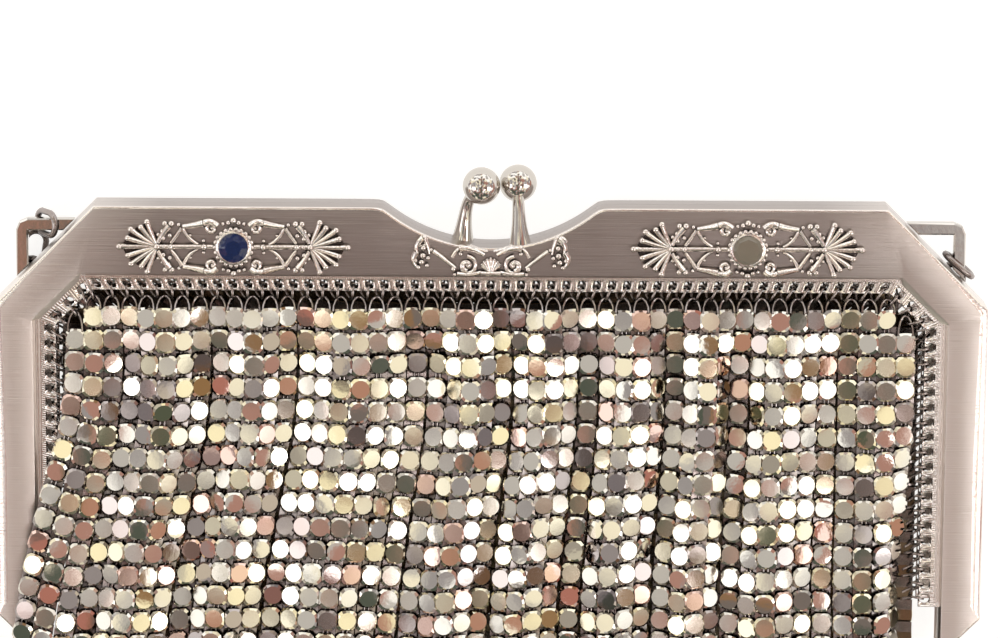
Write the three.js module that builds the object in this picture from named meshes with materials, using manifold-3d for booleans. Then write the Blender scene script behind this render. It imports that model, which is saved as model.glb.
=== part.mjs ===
// Metal mesh purse: an eight-cornered kiss-lock frame, its mesh bag and its handle chain, closed and
// lying on its back. Millimetres, +Z up from the surface it lies on, +Y towards the clasp. Sizes are
// first given with x = 0 at the middle of the frame and y = 0 at its top edge; the last lines move the
// origin to the middle of the whole purse.
import * as THREE from 'three';
import { mergeGeometries, mergeVertices } from 'three/addons/utils/BufferGeometryUtils.js';
import Module from 'manifold-3d';

const wasm = await Module();
wasm.setup();

// Frame: two pressed halves, each a face band with an outer flange and a sunk lip
const frameHalfWidth = 83;
const shoulderCut = 17;
const shoulderHalfWidth = frameHalfWidth - shoulderCut;
const armEndDrop = 70.5;
const armWidth = 6.8;
const faceHeight = 11.7;
const shoulderBand = 6.6;
const sheet = 0.9;
const frameDepth = 8;
const frameLift = 2.9;
const edgeBevel = 0.45;
const lipDrop = 0.9;
const lipTop = 2.7;
const lipSide = 3.7;
const lipShoulder = 3.2;
const dipDepth = 6.8;
const dipHalfChord = 18;
const dipSteps = 12;

// Holes along the lip
const holePitch = 2.5;
const holeAlong = 1.2;
const holeAcross = 1.5;
const holeFromEdge = 0.9;
const holeSides = 5;

// Hinge: a lug of each half and a rivet through both, behind the foot of each arm
const lugWidth = 4.2;
const lugDrop = armEndDrop - sheet - lugWidth / 2;
const rivetDiameter = 1.6;
const rivetHeadDiameter = 3;
const rivetHeadThickness = 0.6;

// Kiss-lock clasp: one ball on a post of each half
const ballDiameter = 6.3;
const ballRise = 3.25;
const ballDepth = 1.35;
const postDiameter = 1.9;
const postFootDiameter = 3.8;
const postFootHeight = 3.5;
const backBall = { ballX: -1.6, footX: -4.75, neckX: -4.1, neckRise: 0.6 };
const frontBall = { ballX: 4.5, footX: 4.9, neckX: 4.5, neckRise: 1.2 };

// Ears of the handle chain, in front of each shoulder
const earReach = 13.3;
const earHalfWidth = shoulderHalfWidth + earReach;
const earTopDrop = 3;
const earBar = 2;
const earCorner = 1.9;
const earBevel = 0.25;

// Handle chain
const linkWire = 1.1;
const linkInnerWidth = 2.75;
const linkStraight = 2;
const leftLinkTilt = -55;
const leftLinkHang = 0.35;
const rightLinkTurn = -40;
const rightLinkUp = 3;
const chainTube = 2.5;
const chainSides = 8;
const chainSteps = 40;

// Cast ornaments
const reliefHeight = 1.2;
const ornamentFromShoulder = 23.3;
const ornamentFromMiddle = shoulderHalfWidth - ornamentFromShoulder;
const ornamentDrop = 6.65;
const stoneDiameter = 4.9;
const bezelWall = 0.55;
const scrollWire = 0.8;
const beadDiameter = 1.25;
const rosetteDiameter = 3;
const bezelFloor = 0.4;
const stoneHeight = 1.05;
const stoneGirdle = 0.15;
const stoneTableShare = 0.6;

// Mesh bag
const meshWall = 1.2;
const bagDrop = 165;
const bagHalfWidth = 82.5;
const bagCorner = 9;
const bagRise = 15.2;
const leftOverhang = 8.2;
const rightRetreat = 3.6;
const sideFold = 3;
const pleatCount = 9;
const pleatDepth = 3.6;
const pleatDrift = 0.28;
const pleatStart = 14;
const pleatEnd = 26;
const mouthPleatShare = 0.35;
const bottomPleatShare = 0.25;
const plainEdgeShare = 1 / 12;
const underTuck = 1.6;
const chainTentReach = 24;
const chainTentSlope = 11;
const mouthSlope = 13;
const armSlope = 11;
const mouthClear = 0.5;
const armClear = 0.5;
const columnsPerPleat = 4;
const foldColumns = 4;
const backColumns = 12;

// What makes the pleats uneven: waves across the bag, each a share of a pleat in size
const pleatWander = [
  { size: 0.22, waves: 9.4, start: 0 },
  { size: 0.10, waves: 23, start: 1 },
];

const clear = 0.3;
const root2 = Math.SQRT2;
const middleZ = frameLift + frameDepth / 2;
const faceZ = frameLift + frameDepth;

// Levels of the mesh beside the frame's arms. below is a share of the way from the lip's corner to the
// arm's tip, left a share of the overhang, right of the retreat, rise of the way from lip to full height
const besideFrame = [
  { below: 0.00, left: 0.00, right: 0.00, rise: 0.10 },
  { below: 0.15, left: 0.00, right: 0.00, rise: 0.25 },
  { below: 0.33, left: 0.08, right: 0.26, rise: 0.45 },
  { below: 0.54, left: 0.48, right: 0.66, rise: 0.72 },
  { below: 0.76, left: 0.78, right: 1.00, rise: 0.93 },
  { below: 1.00, left: 1.00, right: 0.86, rise: 1.00 },
];

// Levels of the mesh below the frame. below is a share of the way from the arm's tip to the bottom,
// left and right shares of the way from the reach at the arm's tip to the full half width, corner a
// share of the bottom corners' size by which the sides are drawn in, rise a share of the full height
const belowFrame = [
  { below: 0.070, left: 0.10, right: 0.16, corner: 0.00, rise: 1.00 },
  { below: 0.170, left: 0.30, right: 0.42, corner: 0.00, rise: 0.98 },
  { below: 0.310, left: 0.55, right: 0.70, corner: 0.00, rise: 0.94 },
  { below: 0.470, left: 0.80, right: 0.90, corner: 0.00, rise: 0.86 },
  { below: 0.630, left: 1.00, right: 1.00, corner: 0.00, rise: 0.73 },
  { below: 0.800, left: 1.00, right: 1.00, corner: 0.00, rise: 0.58 },
  { below: 0.920, left: 0.98, right: 0.98, corner: 0.08, rise: 0.46 },
  { below: 0.975, left: 0.95, right: 0.95, corner: 0.40, rise: 0.38 },
  { below: 1.000, left: 0.93, right: 0.93, corner: 1.00, rise: 0.33 },
];

// The chain's way from the left ear to the right one, lying on the surface under the purse: x, y and
// how far it is lifted off the surface
const chainRoute = [
  [-76.2, -6.7, 0.1], [-77.0, -11, 0], [-75.8, -17, 0], [-71.5, -26, 0], [-66, -38, 0],
  [-62, -52, 0], [-60, -68, 0], [-57, -84, 0], [-50.5, -99, 0], [-40, -112, 0],
  [-26, -121, 0], [-9, -125.5, 0], [9, -125.5, 0], [26, -121, 0], [40, -112, 0],
  [50.5, -99, 0], [57, -84, 0], [60, -68, 0], [62, -52, 0], [66, -38, 0],
  [71.5, -26, 0], [75.4, -20.5, 0], [77.3, -16, 0.1], [77.7, -11.6, 0.3],
].map(([x, y, lift]) => new THREE.Vector3(x, y, lift + chainTube / 2));

// Curved wires of one quarter of a side ornament, seen from its stone, as shares of its half length and
// half height: start, bend and end of each
const ornamentHalfLength = 19.4;
const ornamentHalfHeight = 4.5;
const quarterWires = [
  { name: 'rim', steps: 3, x0: 0.12, y0: 0.55, xb: 0.33, yb: 1.00, x1: 0.56, y1: 0.76 },
  { name: 'lens', steps: 2, x0: 0.43, y0: 0.80, xb: 0.41, yb: 0.30, x1: 0.29, y1: 0.04 },
  { name: 'collar', steps: 2, x0: 0.56, y0: 0.80, xb: 0.55, yb: 0.35, x1: 0.65, y1: 0.04 },
];
const fanAngles = [-64, -32, 0, 32, 64];
const fanRootShare = 0.64;
const fanHub = 1.9;

// Curved wires of one half of the centre ornament, as shares of its half length and height
const centreHalfLength = 13.2;
const centreHeight = 6.8;
const halfWires = [
  { name: 'arm', x0: 0.95, y0: 0.56, xb: 0.70, yb: 0.34, x1: 0.42, y1: 0.14 },
  { name: 'crest', x0: 0.52, y0: 0.42, xb: 0.28, yb: 0.42, x1: 0.02, y1: 0.16 },
  { name: 'base', x0: 0.32, y0: 0.08, xb: 0.16, yb: 0.02, x1: 0.00, y1: 0.08 },
  { name: 'end', x0: 0.88, y0: 0.88, xb: 1.02, yb: 0.50, x1: 0.84, y1: 0.12 },
];

const centreBeads = [{ x: 0.86, y: 0.84 }, { x: 0.94, y: 0.3 }, { x: 0.9, y: 0.54 }, { x: 0.52, y: 0.42 }];
const rosetteSpot = { x: 0.32, y: 0.2 };

const silver = (name) => new THREE.MeshStandardMaterial({
  name, color: 0xa9a49d, roughness: 0.32, metalness: 1,
});
const brushed = (name) => new THREE.MeshStandardMaterial({
  name, color: 0x9a938d, roughness: 0.45, metalness: 1,
});
const polished = (name) => new THREE.MeshStandardMaterial({
  name, color: 0xc4c0ba, roughness: 0.12, metalness: 1,
});
const glass = (name, color) => new THREE.MeshStandardMaterial({
  name, color, roughness: 0.08, metalness: 0,
});

const purse = new THREE.Group();

function place(name, geometry, material) {
  const mesh = new THREE.Mesh(geometry, material);
  mesh.name = name;
  purse.add(mesh);
  return mesh;
}

// A closed geometry as a solid that can be joined and cut
function toSolid(geometry) {
  const bare = geometry.index ? geometry.toNonIndexed() : geometry.clone();
  bare.deleteAttribute('normal');
  bare.deleteAttribute('uv');
  const merged = mergeVertices(bare, 1e-4);
  return new wasm.Manifold(new wasm.Mesh({
    numProp: 3,
    vertProperties: new Float32Array(merged.attributes.position.array),
    triVerts: new Uint32Array(merged.index.array),
  }));
}

function toGeometry(solid) {
  const mesh = solid.getMesh();
  const geometry = new THREE.BufferGeometry();
  geometry.setAttribute('position', new THREE.BufferAttribute(mesh.vertProperties, 3));
  geometry.setIndex(new THREE.BufferAttribute(mesh.triVerts, 1));
  return geometry;
}

const join = (solids) => solids.reduce((whole, next) => whole.add(next));

// A flat outline, given as [x, y] points, raised from z0 to z1
function slab(outline, z0, z1, bevel = 0) {
  const shape = new THREE.Shape(outline.map(([x, y]) => new THREE.Vector2(x, y)));
  const geometry = new THREE.ExtrudeGeometry(shape, {
    depth: z1 - z0 - 2 * bevel,
    bevelEnabled: bevel > 0,
    bevelThickness: bevel,
    bevelSize: bevel,
    bevelOffset: -bevel,
    bevelSegments: 1,
    curveSegments: 1,
  });
  return toSolid(geometry.translate(0, 0, z0 + bevel));
}

// A round or many-sided rod along a curve
function rod(curve, diameter, sides, steps, turn = 0) {
  const section = new THREE.Shape(Array.from({ length: sides }, (_, i) => {
    const angle = turn + (2 * Math.PI * i) / sides;
    return new THREE.Vector2(Math.cos(angle), Math.sin(angle)).multiplyScalar(diameter / 2);
  }));
  return new THREE.ExtrudeGeometry(section, { steps, bevelEnabled: false, extrudePath: curve });
}

// Eight-cornered line round the mouth: straight top, two shoulders at 45 degrees, two arms
const frameEdge = { half: frameHalfWidth, drop: 0, line: shoulderHalfWidth };
const grooveEdge = {
  half: frameHalfWidth - armWidth,
  drop: faceHeight,
  line: shoulderHalfWidth - shoulderBand * root2,
};
const lipEdge = {
  half: grooveEdge.half - lipSide,
  drop: grooveEdge.drop + lipTop,
  line: grooveEdge.line - lipShoulder * root2,
};

// The same line a distance nearer the middle
const inward = (edge, distance) => ({
  half: edge.half - distance,
  drop: edge.drop + distance,
  line: edge.line - distance * root2,
});

// Left end first, over the top, to the right end
function edgePoints(edge, endDrop) {
  const right = [
    [edge.drop + edge.line, -edge.drop],
    [edge.half, -(edge.half - edge.line)],
    [edge.half, -endDrop],
  ];
  const left = right.map(([x, y]) => [-x, y]).reverse();
  return [...left, ...right];
}

// The dip in the top edge for the clasp is a stretch of a circle
const dipRadius = (dipHalfChord ** 2 + dipDepth ** 2) / (2 * dipDepth);
const dipMiddleY = dipRadius - dipDepth;
const dipY = (x, distance = 0) => dipMiddleY - Math.sqrt((dipRadius + distance) ** 2 - x ** 2);
const armTipDrop = armEndDrop + armWidth;

// The frame's outer outline, a distance inside the metal, closed along a given inner edge
function frameOutline(distance, innerEdge) {
  const edge = inward(frameEdge, distance);
  const reach = dipRadius + distance;
  const halfAngle = Math.acos((dipMiddleY + distance) / reach);
  const dip = Array.from({ length: dipSteps + 1 }, (_, i) => {
    const angle = halfAngle * ((2 * i) / dipSteps - 1);
    return [reach * Math.sin(angle), dipMiddleY - reach * Math.cos(angle)];
  });
  const taper = armEndDrop + frameHalfWidth - distance * root2;
  const outer = edgePoints(edge, taper - edge.half);
  const middle = outer.length / 2;
  return [
    ...outer.slice(0, middle),
    ...dip,
    ...outer.slice(middle),
    ...edgePoints(innerEdge, taper - innerEdge.half).reverse(),
  ];
}

// The strip between two edges
const strip = (outer, inner, endDrop) => [
  ...edgePoints(outer, endDrop),
  ...edgePoints(inner, endDrop).reverse(),
];

// Places of the holes, evenly along the lip, each with the direction of the lip there
function holePlaces() {
  const line = edgePoints({
    half: lipEdge.half + holeFromEdge,
    drop: lipEdge.drop - holeFromEdge,
    line: lipEdge.line + holeFromEdge * root2,
  }, lipEndDrop - holePitch);
  const path = new THREE.CurvePath();
  for (let i = 1; i < line.length; i += 1) {
    path.add(new THREE.LineCurve(new THREE.Vector2(...line[i - 1]), new THREE.Vector2(...line[i])));
  }
  const count = Math.floor(path.getLength() / holePitch / 2) * 2;
  return Array.from({ length: count + 1 }, (_, i) => {
    const share = 0.5 + ((i - count / 2) * holePitch) / path.getLength();
    return { at: path.getPointAt(share), along: path.getTangentAt(share) };
  });
}

const lipEndDrop = armEndDrop - 2;
const faceInside = frameDepth / 2;
const lipUpper = faceInside - lipDrop;

// One half with its face up and the parting plane at z = 0. The lug stands inside the flange
function frameHalf(withHoles, lugGap) {
  const parting = clear / 2;
  const lipLower = lipUpper - sheet;
  const body = slab(frameOutline(0, grooveEdge), parting, faceInside, edgeBevel);
  const hollow = slab(frameOutline(sheet, inward(grooveEdge, 1)), parting - 1, faceInside - sheet);
  const wall = slab(
    strip(inward(grooveEdge, -sheet), grooveEdge, lipEndDrop), lipLower, faceInside - sheet / 2,
  );
  const lip = slab(strip(inward(grooveEdge, -sheet / 2), lipEdge, lipEndDrop), lipLower, lipUpper);
  const boreRadius = rivetDiameter / 2 + clear;
  const lugs = [-1, 1].map((side) => {
    const outside = side * (frameHalfWidth - sheet - lugGap);
    const lug = new THREE.BoxGeometry(sheet, lugWidth, faceInside - sheet / 2 + lugWidth / 2);
    lug.translate(
      outside - (side * sheet) / 2,
      -lugDrop,
      (faceInside - sheet / 2 - lugWidth / 2) / 2,
    );
    const bore = new THREE.CylinderGeometry(boreRadius, boreRadius, 3 * sheet, 8).rotateZ(Math.PI / 2);
    return toSolid(lug).subtract(toSolid(bore.translate(outside, -lugDrop, 0)));
  });
  let half = join([body.subtract(hollow), wall, lip, ...lugs]);
  if (withHoles) {
    const pins = holePlaces().map(({ at, along }) => {
      const pin = new THREE.CylinderGeometry(0.5, 0.5, 3 * sheet, holeSides);
      pin.rotateX(Math.PI / 2).scale(holeAlong, holeAcross, 1);
      pin.rotateZ(Math.atan2(along.y, along.x));
      return pin.translate(at.x, at.y, lipUpper - sheet / 2);
    });
    half = half.subtract(toSolid(mergeGeometries(pins)));
  }
  return toGeometry(half);
}

function addFrame() {
  const front = place('frame_front', frameHalf(true, clear), brushed('brushed silver'));
  front.position.z = middleZ;
  const back = place('frame_back', frameHalf(false, 2 * clear + sheet), brushed('brushed silver'));
  back.rotation.y = Math.PI;
  back.position.z = middleZ;
}

// Rivets with a head on each side of the two lugs
function addHingeRivets() {
  const outside = frameHalfWidth - sheet - clear;
  const inside = outside - 2 * sheet - clear;
  [['left', -1], ['right', 1]].forEach(([name, side]) => {
    const radius = rivetDiameter / 2;
    const head = rivetHeadDiameter / 2;
    const end = inside - clear - rivetHeadThickness;
    const profile = [
      [0, end], [head, end], [head, inside - clear], [radius, inside - clear], [radius, outside + clear / 2],
      [0, outside + clear / 2],
    ].map(([r, along]) => new THREE.Vector2(r, along));
    const rivet = new THREE.LatheGeometry(profile, 10);
    rivet.rotateZ((-side * Math.PI) / 2);
    rivet.translate(0, -lugDrop, middleZ);
    place(`hinge_rivet_${name}`, toGeometry(toSolid(rivet)), silver('silver plate'));
  });
}

// A flared foot standing in the dip, a slim post bent over at its top, and the ball
function claspHalf({ ballX, footX, neckX, neckRise }, towardFront) {
  const footZ = middleZ + towardFront * (frameDepth / 4);
  const ball = new THREE.Vector3(ballX, ballRise, middleZ - towardFront * ballDepth);
  const foot = new THREE.Vector3(footX, dipY(footX), footZ);
  const neck = new THREE.Vector3(neckX, neckRise, footZ - towardFront * ballDepth / 2);
  const bend = new THREE.CatmullRomCurve3([foot, foot.clone().lerp(neck, 0.6), neck, ball]);
  const post = rod(bend, postDiameter, 7, 5);
  const sunk = postFootDiameter / 4;
  const flare = new THREE.CylinderGeometry(
    postDiameter / 2, postFootDiameter / 2, postFootHeight + sunk, 9,
  );
  flare.translate(0, (postFootHeight - sunk) / 2, 0);
  flare.rotateZ(-Math.atan2(neck.x - foot.x, neck.y - foot.y)).translate(foot.x, foot.y, foot.z);
  const round = new THREE.SphereGeometry(ballDiameter / 2, 12, 7).translate(ball.x, ball.y, ball.z);
  const seatRadius = dipRadius - clear;
  const seat = new THREE.CylinderGeometry(seatRadius, seatRadius, 4 * frameDepth, 96);
  seat.rotateX(Math.PI / 2).translate(0, dipMiddleY, middleZ);
  return toGeometry(join([toSolid(post), toSolid(flare), toSolid(round)]).intersect(toSolid(seat)));
}

function addClasp() {
  place('clasp_back', claspHalf(backBall, -1), polished('polished silver'));
  place('clasp_front', claspHalf(frontBall, 1), polished('polished silver'));
}

// Square bars bent to a corner in front of the shoulder, on the back half
const earZ = middleZ - clear / 2 - earBar;

function addEars() {
  const foot = shoulderHalfWidth + clear * root2;
  const inner = { half: earHalfWidth - earBar, drop: earTopDrop + earBar };
  const roundOff = earCorner * (1 - Math.SQRT1_2);
  const outline = [
    [foot + earTopDrop, -earTopDrop],
    [earHalfWidth - earCorner, -earTopDrop],
    [earHalfWidth - roundOff, -(earTopDrop + roundOff)],
    [earHalfWidth, -(earTopDrop + earCorner)],
    [earHalfWidth, -(earHalfWidth - foot)],
    [inner.half, -(inner.half - foot)],
    [inner.half, -inner.drop],
    [foot + inner.drop, -inner.drop],
  ];
  place('ear_right', toGeometry(slab(outline, earZ, earZ + earBar, earBevel)), silver('silver plate'));
  const mirrored = outline.map(([x, y]) => [-x, y]);
  place('ear_left', toGeometry(slab(mirrored, earZ, earZ + earBar, earBevel)), silver('silver plate'));
}

// A long oval link lying in the XY plane with its length along x
function link() {
  const radius = (linkInnerWidth + linkWire) / 2;
  const oval = new THREE.TorusGeometry(radius, linkWire / 2, 5, 12);
  const spot = oval.attributes.position;
  for (let i = 0; i < spot.count; i += 1) {
    const x = spot.getX(i);
    const push = Math.abs(x) < 1e-3 ? 0 : (Math.sign(x) * linkStraight) / 2;
    spot.setX(i, x + push);
  }
  return oval;
}

function addEarLinks() {
  const barMiddleZ = earZ + earBar / 2;
  const slack = (linkStraight + linkInnerWidth - earBar) / 2;
  const left = link().rotateY(THREE.MathUtils.degToRad(leftLinkTilt));
  left.translate(-(earHalfWidth - 2.5 * earBar), -(earTopDrop + earBar / 2), barMiddleZ - slack * leftLinkHang);
  place('ear_link_left', toGeometry(toSolid(left)), silver('silver plate'));
  const right = link().rotateX(Math.PI / 2).rotateZ(THREE.MathUtils.degToRad(rightLinkTurn));
  const barEndDrop = earHalfWidth - shoulderHalfWidth;
  right.translate(earHalfWidth - earBar / 2, -(barEndDrop - rightLinkUp), barMiddleZ - slack / 10);
  place('ear_link_right', toGeometry(toSolid(right)), silver('silver plate'));
}

const chainCurve = new THREE.CatmullRomCurve3(chainRoute, false, 'centripetal');

function addChain() {
  place('chain', rod(chainCurve, chainTube, chainSides, chainSteps, Math.PI / 8), silver('silver plate'));
}

// Half-sunk wire of an ornament between three points that bend it
function scroll([x0, y0], [xb, yb], [x1, y1], z, steps = 3) {
  const curve = new THREE.QuadraticBezierCurve3(
    new THREE.Vector3(x0, y0, z), new THREE.Vector3(xb, yb, z), new THREE.Vector3(x1, y1, z),
  );
  return toSolid(rod(curve, scrollWire, 3, steps, Math.PI));
}

// A bead resting on the ornament's lower face
function bead(x, y, z0) {
  return toSolid(new THREE.OctahedronGeometry(beadDiameter / 2, 0).translate(x, y, z0 + beadDiameter / 2));
}

// A round cup that holds a stone, open upwards
function bezel(x, y, z0) {
  const inner = stoneDiameter / 2 + clear;
  const outer = inner + bezelWall;
  const profile = [
    [0, 0], [outer, 0], [outer, reliefHeight * 0.75], [inner + 0.15, reliefHeight], [inner, reliefHeight],
    [inner, bezelFloor], [0, bezelFloor],
  ].map(([r, z]) => new THREE.Vector2(r, z));
  return toSolid(new THREE.LatheGeometry(profile, 10).rotateX(Math.PI / 2).translate(x, y, z0));
}

function sideOrnament(x, y) {
  const z0 = faceZ + clear;
  const z = z0 + scrollWire / 2;
  const half = { x: ornamentHalfLength, y: ornamentHalfHeight };
  const pieces = [bezel(x, y, z0)];
  [-1, 1].forEach((sx) => {
    const at = (shareX, shareY) => [x + sx * shareX * half.x, y + shareY * half.y];
    const root = at(fanRootShare, 0);
    const bar = new THREE.LineCurve3(
      new THREE.Vector3(...at(0.14, 0), z), new THREE.Vector3(...root, z),
    );
    const hub = new THREE.CylinderGeometry(fanHub / 2, fanHub / 2, beadDiameter, 6).rotateX(Math.PI / 2);
    hub.translate(root[0], root[1], z0 + beadDiameter / 2);
    pieces.push(toSolid(rod(bar, scrollWire, 3, 1, Math.PI)), bead(...at(0.27, 0), z0), toSolid(hub));
    [-1, 1].forEach((sy) => {
      quarterWires.forEach(({ steps, x0, y0, xb, yb, x1, y1 }) => {
        pieces.push(scroll(at(x0, sy * y0), at(xb, sy * yb), at(x1, sy * y1), z, steps));
      });
      pieces.push(bead(...at(0.56, sy * 0.8), z0));
    });
    fanAngles.forEach((angle) => {
      const turn = THREE.MathUtils.degToRad(angle);
      const reach = (1 - fanRootShare) * half.x * (1 - 0.28 * Math.abs(Math.sin(turn)));
      const petal = new THREE.CylinderGeometry(beadDiameter / 2, scrollWire / 3, reach, 4);
      petal.translate(0, reach / 2, 0).rotateZ(sx * (turn - Math.PI / 2));
      pieces.push(toSolid(petal.translate(root[0], root[1], z0 + beadDiameter / 2)));
    });
  });
  [-1, 1].forEach((sy) => pieces.push(bead(x, y + sy * (half.y - beadDiameter / 2), z0)));
  [-1, 1].forEach((sy) => {
    const stem = new THREE.LineCurve3(
      new THREE.Vector3(x, y + sy * half.y * 0.5, z), new THREE.Vector3(x, y + sy * half.y * 0.85, z),
    );
    pieces.push(toSolid(rod(stem, scrollWire, 3, 1, Math.PI)));
  });
  return toGeometry(join(pieces));
}

// A round stone with a table, eight crown facets and a pavilion cut short to lie in its cup
function stone(x, y) {
  const radius = stoneDiameter / 2;
  const girdle = stoneHeight * 0.43;
  const pavilionShare = 0.55;
  const profile = [
    [0, 0], [radius * pavilionShare, 0], [radius, girdle], [radius, girdle + stoneGirdle],
    [radius * stoneTableShare, stoneHeight], [0, stoneHeight],
  ].map(([r, z]) => new THREE.Vector2(r, z));
  const cut = new THREE.LatheGeometry(profile, 8).rotateX(Math.PI / 2);
  return toGeometry(toSolid(cut.translate(x, y, faceZ + clear + bezelFloor + clear)));
}

function centreOrnament() {
  const z0 = faceZ + clear;
  const z = z0 + scrollWire / 2;
  const low = -(faceHeight - clear);
  const pieces = [];
  const at = (sx, shareX, shareY) => [sx * shareX * centreHalfLength, low + shareY * centreHeight];
  [-1, 1].forEach((sx) => {
    halfWires.forEach(({ x0, y0, xb, yb, x1, y1 }) => {
      pieces.push(scroll(at(sx, x0, y0), at(sx, xb, yb), at(sx, x1, y1), z));
    });
    centreBeads.forEach((spot) => pieces.push(bead(...at(sx, spot.x, spot.y), z0)));
    const wide = rosetteDiameter / 2;
    const high = reliefHeight * 0.7;
    const rosette = new THREE.CylinderGeometry(wide * 0.75, wide, high, 9).rotateX(Math.PI / 2);
    const [x, y] = at(sx, rosetteSpot.x, rosetteSpot.y);
    pieces.push(toSolid(rosette.translate(x, y, z0 + high / 2)));
  });
  pieces.push(bead(...at(1, 0, 0.14), z0));
  return toGeometry(join(pieces));
}

function addOrnaments() {
  const y = -ornamentDrop;
  place('ornament_left', sideOrnament(-ornamentFromMiddle, y), silver('cast silver'));
  place('ornament_right', sideOrnament(ornamentFromMiddle, y), silver('cast silver'));
  place('ornament_centre', centreOrnament(), silver('cast silver'));
  place('stone_left', stone(-ornamentFromMiddle, y), glass('blue glass', 0x1f2740));
  place('stone_right', stone(ornamentFromMiddle, y), glass('grey glass', 0x8d887c));
}

const smooth = (t) => {
  const s = THREE.MathUtils.clamp(t, 0, 1);
  return s * s * (3 - 2 * s);
};

// Height of the underside: raised over the chain, and up to the back lip round the mouth
const chainPoints = chainCurve.getSpacedPoints(160);

function undersideZ(x, drop, besideArms) {
  const distance = Math.min(...chainPoints.map((p) => Math.hypot(p.x - x, p.y + drop)));
  const overChain = (chainTube + 2 * clear) * smooth((chainTentReach - distance) / chainTentSlope);
  const atMouth = backLipZ * smooth((mouth.drop + mouthSlope - drop) / mouthSlope);
  const atArms = besideArms ? backLipZ * smooth((Math.abs(x) - mouth.half + armSlope) / armSlope) : 0;
  return Math.max(overChain, atMouth, atArms);
}

const frontLipZ = middleZ + lipUpper + clear;
const backLipZ = middleZ - lipUpper - clear;
const mouth = inward(lipEdge, mouthClear);
const mouthHalf = (drop) => Math.min(mouth.half, drop + mouth.line);

// Levels of the bag from the mouth down: drop, reach to each side, height, and how far the sheet is
// folded over the arm (fold) or closed round the side (closed)
function bagLevels() {
  const cornerDrop = mouth.half - mouth.line;
  const tipDrop = armTipDrop + mouthClear;
  const lip = [0, 0.5].map((share) => {
    const drop = THREE.MathUtils.lerp(mouth.drop, cornerDrop, share);
    return { drop, left: mouthHalf(drop), right: mouthHalf(drop), rise: 0.05 * share, fold: 0, closed: 0 };
  });
  const beside = besideFrame.map(({ below, left, right, rise }) => ({
    drop: THREE.MathUtils.lerp(cornerDrop, tipDrop, below),
    left: mouth.half + left * leftOverhang,
    right: mouth.half - right * rightRetreat,
    rise,
    fold: left > 0 ? 1 : 0,
    closed: 0,
  }));
  const tip = beside[beside.length - 1];
  const below = belowFrame.map((row) => ({
    drop: THREE.MathUtils.lerp(tipDrop, bagDrop, row.below),
    left: THREE.MathUtils.lerp(tip.left, bagHalfWidth, row.left) - row.corner * bagCorner,
    right: THREE.MathUtils.lerp(tip.right, bagHalfWidth, row.right) - row.corner * bagCorner,
    rise: null,
    top: row.rise * bagRise,
    fold: 0,
    closed: 1,
  }));
  return [...lip, ...beside, ...below].map((level) => ({
    ...level,
    top: level.top ?? THREE.MathUtils.lerp(frontLipZ, bagRise, level.rise),
  }));
}

// Pleats run down the front, uneven in width and drifting sideways as they fall. At the mouth they
// only stand outwards, so that the mouth stays open
function pleat(across, drop) {
  const along = across - (pleatDrift * drop) / bagDrop / pleatCount;
  const phase = pleatWander.reduce(
    (sum, { size, waves, start }) => sum + size * Math.sin(waves * along + start), pleatCount * along,
  );
  const fromMouth = smooth((drop - mouth.drop) / pleatStart);
  const depth = THREE.MathUtils.lerp(mouthPleatShare, 1, fromMouth)
    * smooth((bagDrop - drop) / pleatEnd + bottomPleatShare);
  return 0.5 * pleatDepth * depth * (Math.cos(2 * Math.PI * phase) + 1 - fromMouth);
}

// One side of a section, from the front sheet (first) to its last point. side is -1 left, 1 right
function sidePoints({ drop, top, fold, closed, ...level }, side) {
  const reach = side < 0 ? level.left : level.right;
  const folded = side < 0 ? fold : 0;
  const under = faceZ + armClear;
  const wide = closed ? Math.min(2 * sideFold, top / 2) : sideFold;
  return Array.from({ length: foldColumns }, (_, i) => {
    const share = (i + 1) / foldColumns;
    const quarter = (Math.PI / 2) * (1 - share);
    const plain = [
      reach - wide + wide * Math.cos(quarter), frontLipZ + (top - frontLipZ) * Math.sin(quarter),
    ];
    const turned = Math.PI / 2 - (Math.PI * (i + 1)) / (foldColumns - 1);
    const over = share < 1
      ? [reach - wide + wide * Math.cos(turned), (top + under) / 2 + ((top - under) / 2) * Math.sin(turned)]
      : [mouth.half, frontLipZ + clear];
    const half = Math.PI / 2 - Math.PI * share;
    const shut = [
      reach - wide + wide * Math.cos(half),
      top / 2 + (top / 2) * Math.sin(half) + (share === 1 ? undersideZ(side * (reach - wide), drop, false) : 0),
    ];
    const open = [0, 1].map((k) => THREE.MathUtils.lerp(plain[k], over[k], folded));
    const [x, z] = closed ? shut : open;
    return [side * x, z];
  });
}

// A closed section of the outer skin: over the front from right to left, back under from left to right
function bagSection(level) {
  const { left, right, drop, top, closed } = level;
  const wide = closed ? Math.min(2 * sideFold, top / 2) : sideFold;
  const columns = pleatCount * columnsPerPleat;
  const front = Array.from({ length: columns + 1 }, (_, i) => {
    const across = 1 - i / columns;
    const x = THREE.MathUtils.lerp(-(left - wide), right - wide, across);
    const edge = smooth(Math.min(across, 1 - across) / plainEdgeShare);
    return [x, top + edge * pleat(across, drop)];
  });
  const ends = closed
    ? [-(left - wide * underTuck), right - wide * underTuck]
    : [-mouthHalf(drop), mouthHalf(drop)];
  const back = Array.from({ length: backColumns + 1 }, (_, i) => {
    const x = THREE.MathUtils.lerp(ends[0], ends[1], i / backColumns);
    return [x, undersideZ(x, drop, !closed)];
  });
  const rightSide = sidePoints(level, 1).reverse();
  return { over: [...rightSide, ...front, ...sidePoints(level, -1)], under: back };
}

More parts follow.
